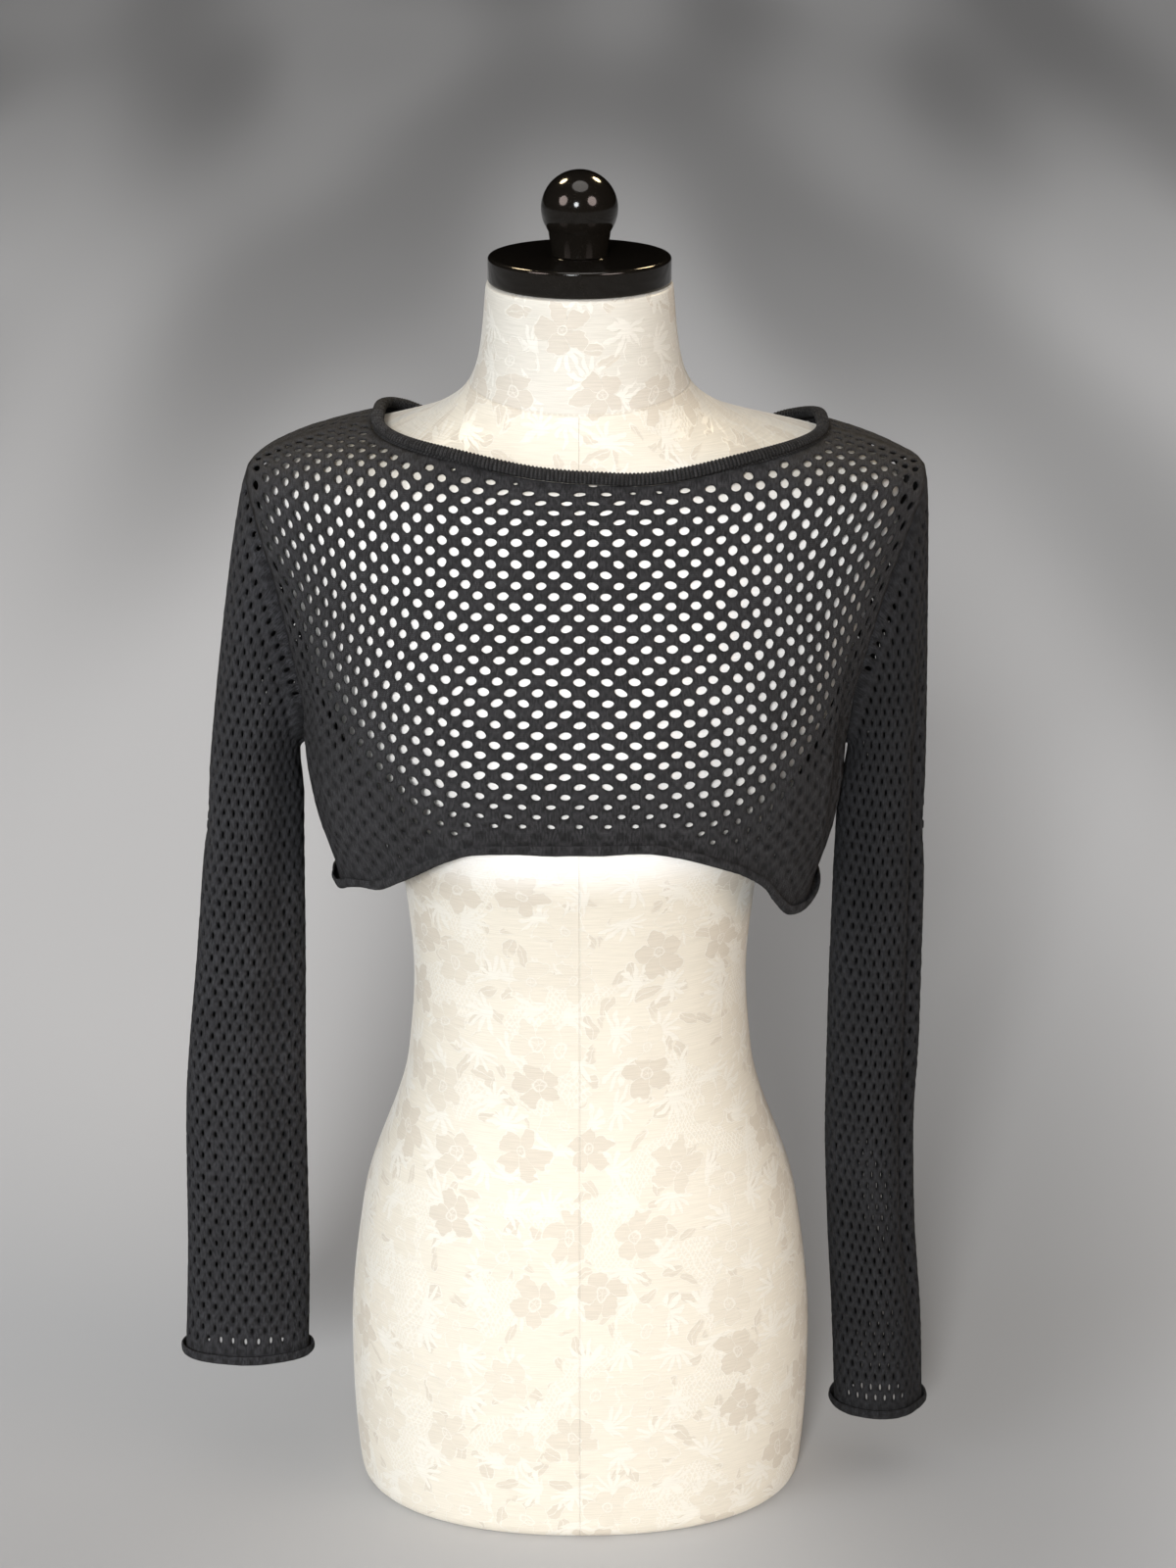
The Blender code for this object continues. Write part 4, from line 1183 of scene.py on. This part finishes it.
def sleeve_drape(name):
    """The drape of a sleeve, laid open along its underarm seam."""
    even = np.linspace(-math.pi, math.pi, 2001)
    oval = np.stack([np.cos(even), SLEEVE_FLATNESS * np.sin(even)], axis=1)
    lengths = path_lengths(oval)
    angles = np.interp(np.linspace(0, lengths[-1], SLEEVE_COLUMNS + 1), lengths, even)
    angles = np.where(angles < 0, angles + 2 * math.pi, angles)
    edge = armhole_ring(name, angles)
    ahead, behind = armhole_ring(name, angles + 0.01), armhole_ring(name, angles - 0.01)
    normal = knit_normals(edge)
    into = unit(np.cross(normal, unit(ahead - behind)))
    into *= np.sign(np.sum(into * (edge.mean(axis=0) - edge), axis=1, keepdims=True))
    turn = np.abs(np.angle(np.exp(1j * angles)))[:, None] / 2
    lead = unit(np.cos(turn) * into + np.sin(turn) * normal)
    start = edge + (SEAM_GAP + WALL / 2 * np.sin(turn)) * into
    end = sleeve_ring(name, SLEEVE_JOIN, angles)
    fall = unit(sleeve_ring(name, SLEEVE_JOIN - SLEEVE_LEAD, angles) - end)
    length = np.linalg.norm(end - start, axis=1, keepdims=True)
    first = start + lead * np.minimum(SLEEVE_LEAD, LEAD_SHARE * length)
    second = end - fall * FALL_SHARE * length
    rows = []
    for t in np.linspace(0, 1, SLEEVE_HEAD_STEPS, endpoint=False):
        rows.append((1 - t) ** 3 * start + 3 * (1 - t) ** 2 * t * first
                    + 3 * (1 - t) * t ** 2 * second + t ** 3 * end)
    bottom = SLEEVE_SECTIONS[name][0][0] + CUFF_ROLL + WALL / 2
    for z in np.linspace(SLEEVE_JOIN, bottom, SLEEVE_TUBE_STEPS):
        rows.append(sleeve_ring(name, z, angles))

    def level_of(path, lengths):
        return lengths[SLEEVE_HEAD_STEPS]

    points, tops, bottoms = even_columns(np.array(rows), SLEEVE_STEPS, level_of)
    ring = points[:, :-1]
    around = np.roll(ring, -1, axis=1) - np.roll(ring, 1, axis=1)
    normals = unit(np.cross(np.gradient(ring, axis=0), around)) * -SIDES[name]
    normals = np.concatenate([normals, normals[:, :1]], axis=1)
    across = np.linspace(-HALF_SLEEVE, HALF_SLEEVE, SLEEVE_COLUMNS + 1)
    return Drape(across, tops, bottoms, points, normals, CUFF_ROLL, CUFF_DEPTH)


def slit_places(drape):
    """The middles of a sleeve's eyelets that clear its seams."""
    pitch = 2 * HALF_SLEEVE / SLIT_COLUMNS
    middles = []
    for row in range(*SLIT_ROWS):
        columns = np.arange(-SLIT_COLUMNS // 2, SLIT_COLUMNS // 2) + 0.5 * (row % 2)
        middles.append(np.stack([columns * pitch, np.full_like(columns, row * SLIT_PITCH)], axis=1))
    middles = np.vstack(middles)
    across, down = middles.T
    inside = np.abs(across) < HALF_SLEEVE - SLIT_MARGINS[0]
    inside &= (down > drape.top(across) + SLIT_MARGINS[1]) & (down < drape.bottom(across) - CUFF_BAND)
    return middles[inside]


SLEEVE_CREASES = {
    # across, down, far across, far down, width, depth
    "left": ((-0.030, -0.060, 0.010, 0.030, 0.009, -0.0018), (0.020, 0.020, 0.045, 0.120, 0.010, 0.0016),
             (-0.055, 0.100, -0.040, 0.260, 0.009, 0.0014), (0.040, 0.200, 0.030, 0.340, 0.009, -0.0014),
             (-0.080, 0.050, -0.070, 0.300, 0.010, -0.0018), (0.080, 0.080, 0.075, 0.250, 0.010, 0.0018)),
    "right": ((0.030, -0.060, -0.010, 0.040, 0.009, -0.0018), (-0.030, 0.060, -0.040, 0.180, 0.010, 0.0014),
              (0.050, 0.200, 0.045, 0.380, 0.009, 0.0014), (-0.075, 0.060, -0.080, 0.330, 0.010, -0.0018),
              (0.078, 0.070, 0.070, 0.280, 0.010, 0.0016)),
}


def knit_sleeve(name, seed, colour):
    """A sleeve's tube, cut through with its narrow eyelets and joined along the underarm."""
    drape = sleeve_drape(name)
    roll = CUFF_ROLL * ROLL_TURN
    outline = pattern_outline(drape, roll)
    middles = slit_places(drape)
    widths = np.where(drape.hang(middles)[0][:, 1] > 0, HIDDEN_SLIT, SLIT_WIDTH)
    rings = eyelet_rings(middles, widths, np.full_like(widths, SLIT_HEIGHT), SLIT_POINTS, 2.0, seed)
    flat, triangles, rim = cut_pattern(drape, roll, CUFF_BAND - CUFF_LAP, outline, middles, rings,
                                       keep_off=0.0036)
    points, normals = drape.hang(flat)
    even, uneven = SLEEVE_PUFF
    puff = even + uneven * soft_noise(flat, seed, FINE_SIZE) + creased(flat, SLEEVE_CREASES[name])
    open_edge = ease((HALF_SLEEVE - np.abs(flat[:, 0])) / SEAM_FADE)
    points = points + normals * (np.where(rim, -even, puff) * open_edge)[:, None]
    left, right = (np.where(np.abs(flat[:, 0] - side * HALF_SLEEVE) < 1e-6)[0] for side in SIDES.values())
    left, right = left[np.argsort(flat[left, 1])], right[np.argsort(flat[right, 1])]
    merged = np.arange(len(flat))
    merged[right] = left
    thickness = np.where(rim, KNIT * SLEEVE_RIM_SHARE, KNIT)
    places = flat[triangles]
    triangles = merged[triangles]
    if name == "right":
        triangles, places = triangles[:, ::-1], places[:, ::-1]
    used, triangles = np.unique(triangles, return_inverse=True)
    triangles = triangles.reshape(-1, 3)
    obj = walled("sleeve_" + name + "_knit", points[used], normals[used], thickness[used], triangles, places)
    put_yarn(obj, "sleeve_" + name + "_yarn", colour, 2 * HALF_SLEEVE / SLIT_COLUMNS, SLIT_PITCH, 0.0009)
    return obj


# The right sleeve's yarn is darker than the left's: painted shade, since the light falls from the left.
for side, seed, colour in (("left", 7, (0.0240, 0.0245, 0.0275)), ("right", 9, (0.0145, 0.0150, 0.0170))):
    sleeve = knit_sleeve(side, seed, colour)
    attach(sleeve, "root")
    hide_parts("sleeve_" + side)

# ---- The neckband
# A band of fine rib, picked up all round the neckline and bound off. It stands up from the seam and curls
# outward over it.
BAND_WALL = 0.0018
BAND_STAND = 0.0038
BAND_HALF = 0.0031
BAND_RISE = 0.0023
BAND_TURN = 165
BAND_ROWS = 12
BAND_SHARE = 0.85       # of the band's thickness between its ribs
BAND_COLOUR = (0.026, 0.026, 0.027)
RIB_PITCH = 0.0024
RIB_RELIEF = 0.00045
RIB_FADE = 0.15         # share of the band over which the ribs rise at its edges
RIB_POINTS = 6          # for each rib
NECKLINE_STEPS = 600    # along each panel's neckline


def neckline(face):
    """Points along a panel's neckline, from left to right."""
    x = neckline_x(NECKLINE_STEPS)
    p = x / reach(x, SHOULDER_TIP)
    return panel_points(face, p, column_tops(face, p))


def knit_neckband():
    """The band's wall, with its ribs raised on the outer side."""
    front_edge, back_edge = neckline("front"), neckline("back")
    edge = np.vstack([front_edge, back_edge[-2:0:-1]])
    edge[0] = (front_edge[0] + back_edge[0]) / 2
    edge[NECKLINE_STEPS] = (front_edge[-1] + back_edge[-1]) / 2
    round_again = np.vstack([edge, edge[:1]])
    lengths = path_lengths(round_again)
    count = round(lengths[-1] / RIB_PITCH) * RIB_POINTS
    edge = along_path(round_again, lengths, np.linspace(0, lengths[-1], count, endpoint=False))
    normal = knit_normals(edge)
    ahead = unit(np.roll(edge, -3, axis=0) - np.roll(edge, 3, axis=0))
    inward = unit(np.cross(normal, ahead))
    rows = [edge + SEAM_GAP * inward]
    for turn in np.radians(np.linspace(-90, BAND_TURN, BAND_ROWS)):
        toward_neck = BAND_STAND + BAND_HALF * math.cos(turn)
        rows.append(edge + toward_neck * inward + BAND_RISE * (1 + math.sin(turn)) * normal)
    rows = np.array(rows[::-1])
    around = np.roll(rows, -2, axis=1) - np.roll(rows, 2, axis=1)
    normals = unit(np.cross(np.gradient(rows, axis=0), around))
    rib = RIB_RELIEF * np.cos(2 * math.pi * np.arange(count) / RIB_POINTS)
    inside = np.linspace(0, 1, len(rows))[:, None]
    fade = ease(np.minimum(inside, 1 - inside) / RIB_FADE)
    rows = rows + normals * (rib * fade)[:, :, None]
    faces, row, column = ring_faces(len(rows), count)
    across = np.linspace(0, lengths[-1], count + 1)
    down = -path_lengths(rows[:, 0])
    places = np.stack([across[column], down[row]], axis=-1)
    thickness = np.full(len(rows) * count, BAND_WALL * BAND_SHARE)
    obj = walled("neckband_rib", rows.reshape(-1, 3), normals.reshape(-1, 3), thickness, faces, places)
    # painted shade, deeper than between the eyelets, in the valleys between the band's ribs
    put_yarn(obj, "neckband_yarn", BAND_COLOUR, RIB_PITCH, 1.0, 0.0006, painted_valley_shade=0.3)
    return obj


neckband = knit_neckband()
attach(neckband, "root")
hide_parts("neckband")

# ---- The studio
# A mottled grey floor, with painted shade that darkens it with distance, and soft frontal light. A few small
# lamps show only as glints in the lacquer.
FLOOR_SIZE = 30
FLOOR_SHADES = ((0.36, 0.36, 0.36), (0.62, 0.62, 0.62))
FLOOR_CLOUDS = (1.0, 0.16, 1.0)     # how their noise is stretched toward the back
# painted shade: the floor's colour far back, as if the light fell off there
PAINTED_FAR_SHADE = (0.03, 0.03, 0.03)
FAR_FLOOR = (1.3, 6.5)      # where the painted shade begins to darken the floor, and where it is darkest
FAR_SHARE = 0.62
SKY = (0.19, 0.19, 0.195)
SUNS = (
    # strength, toward the right, toward the front, up, softness in degrees, colour
    (3.30, -0.14, 1.0, 0.34, 10, (1.0, 1.0, 1.0)),
    (1.30, -1.30, 1.0, 0.45, 40, (0.95, 0.97, 1.0)),
    (1.25, 1.00, 0.6, 0.20, 40, (1.0, 0.80, 0.62)),
    (0.45, 0.0, -0.1, 1.0, 80, (1.0, 1.0, 1.0)),
)
GLINTS = (
    # across and up on the ball, -1 to 1, strength, size, distance, colour
    (-0.38, 0.66, 70.0, 0.55, 2.2, (1.0, 0.80, 0.50)),
    (0.40, 0.71, 60.0, 0.55, 2.2, (1.0, 0.78, 0.45)),
    (-0.41, 0.14, 14.0, 1.10, 2.4, (1.0, 0.82, 0.76)),
    (0.32, 0.12, 14.0, 1.10, 2.4, (1.0, 0.82, 0.76)),
    (-0.08, 0.02, 50.0, 0.60, 2.6, (0.95, 0.98, 1.0)),
    (0.02, 0.50, 5.0, 1.70, 2.4, (1.0, 0.95, 0.90)),
)

world = bpy.data.worlds.new("studio")
world.use_nodes = True
world.node_tree.nodes["Background"].inputs["Color"].default_value = (*SKY, 1)
world.cycles_visibility.glossy = False
bpy.context.scene.world = world
bpy.context.scene.view_settings.view_transform = "Standard"

bpy.ops.mesh.primitive_plane_add(size=FLOOR_SIZE)
floor = bpy.context.object
floor.name = "studio_floor"
paper = new_material(floor, "studio_paper", FLOOR_SHADES[0], specular=0.1, roughness=0.85)
place = nodes(paper, "TexCoord")[3]
mottled = noise(place.vector("MULTIPLY", FLOOR_CLOUDS), scale=2.4, detail=0.0).between(0.25, 0.70)
# painted shade that darkens the floor with distance
far = parts_of(place)[1].between(*FAR_FLOOR, 0.0, FAR_SHARE)
link_shader(paper, Base_Color=blend(far, blend(mottled, *FLOOR_SHADES), PAINTED_FAR_SHADE))


def light_from(name, kind, direction, colour, **settings):
    """A light that shines from a direction at the object."""
    lamp = bpy.data.lights.new(name, kind)
    lamp.color = colour
    for key, value in settings.items():
        setattr(lamp, key, value)
    obj = bpy.data.objects.new(name, lamp)
    obj.rotation_euler = Vector(direction).to_track_quat("Z", "Y").to_euler()
    bpy.context.scene.collection.objects.link(obj)
    return obj


for number, (strength, right, front_side, up, softness, colour) in enumerate(SUNS):
    sun = light_from(f"sun_{number}", "SUN", (right, -front_side, up), colour, energy=strength,
                     angle=math.radians(softness))
    sun.visible_glossy = False

ball_middle = Vector((0, 0, finial_foot + ball_drop))
looking = Vector((0, math.cos(VIEW_DROP), -math.sin(VIEW_DROP)))
view_up = Vector((0, math.sin(VIEW_DROP), math.cos(VIEW_DROP)))
for number, (across, up, strength, size, distance, colour) in enumerate(GLINTS):
    normal = Vector((across, 0, 0)) + view_up * up - looking * math.sqrt(1 - across ** 2 - up ** 2)
    away = looking - 2 * looking.dot(normal) * normal
    glint = light_from(f"glint_{number}", "AREA", away, colour, shape="DISK", size=size,
                       energy=strength * math.pi * math.pi * (size / 2) ** 2)
    glint.location = ball_middle + away * distance
    glint.visible_camera = False
    glint.visible_diffuse = False
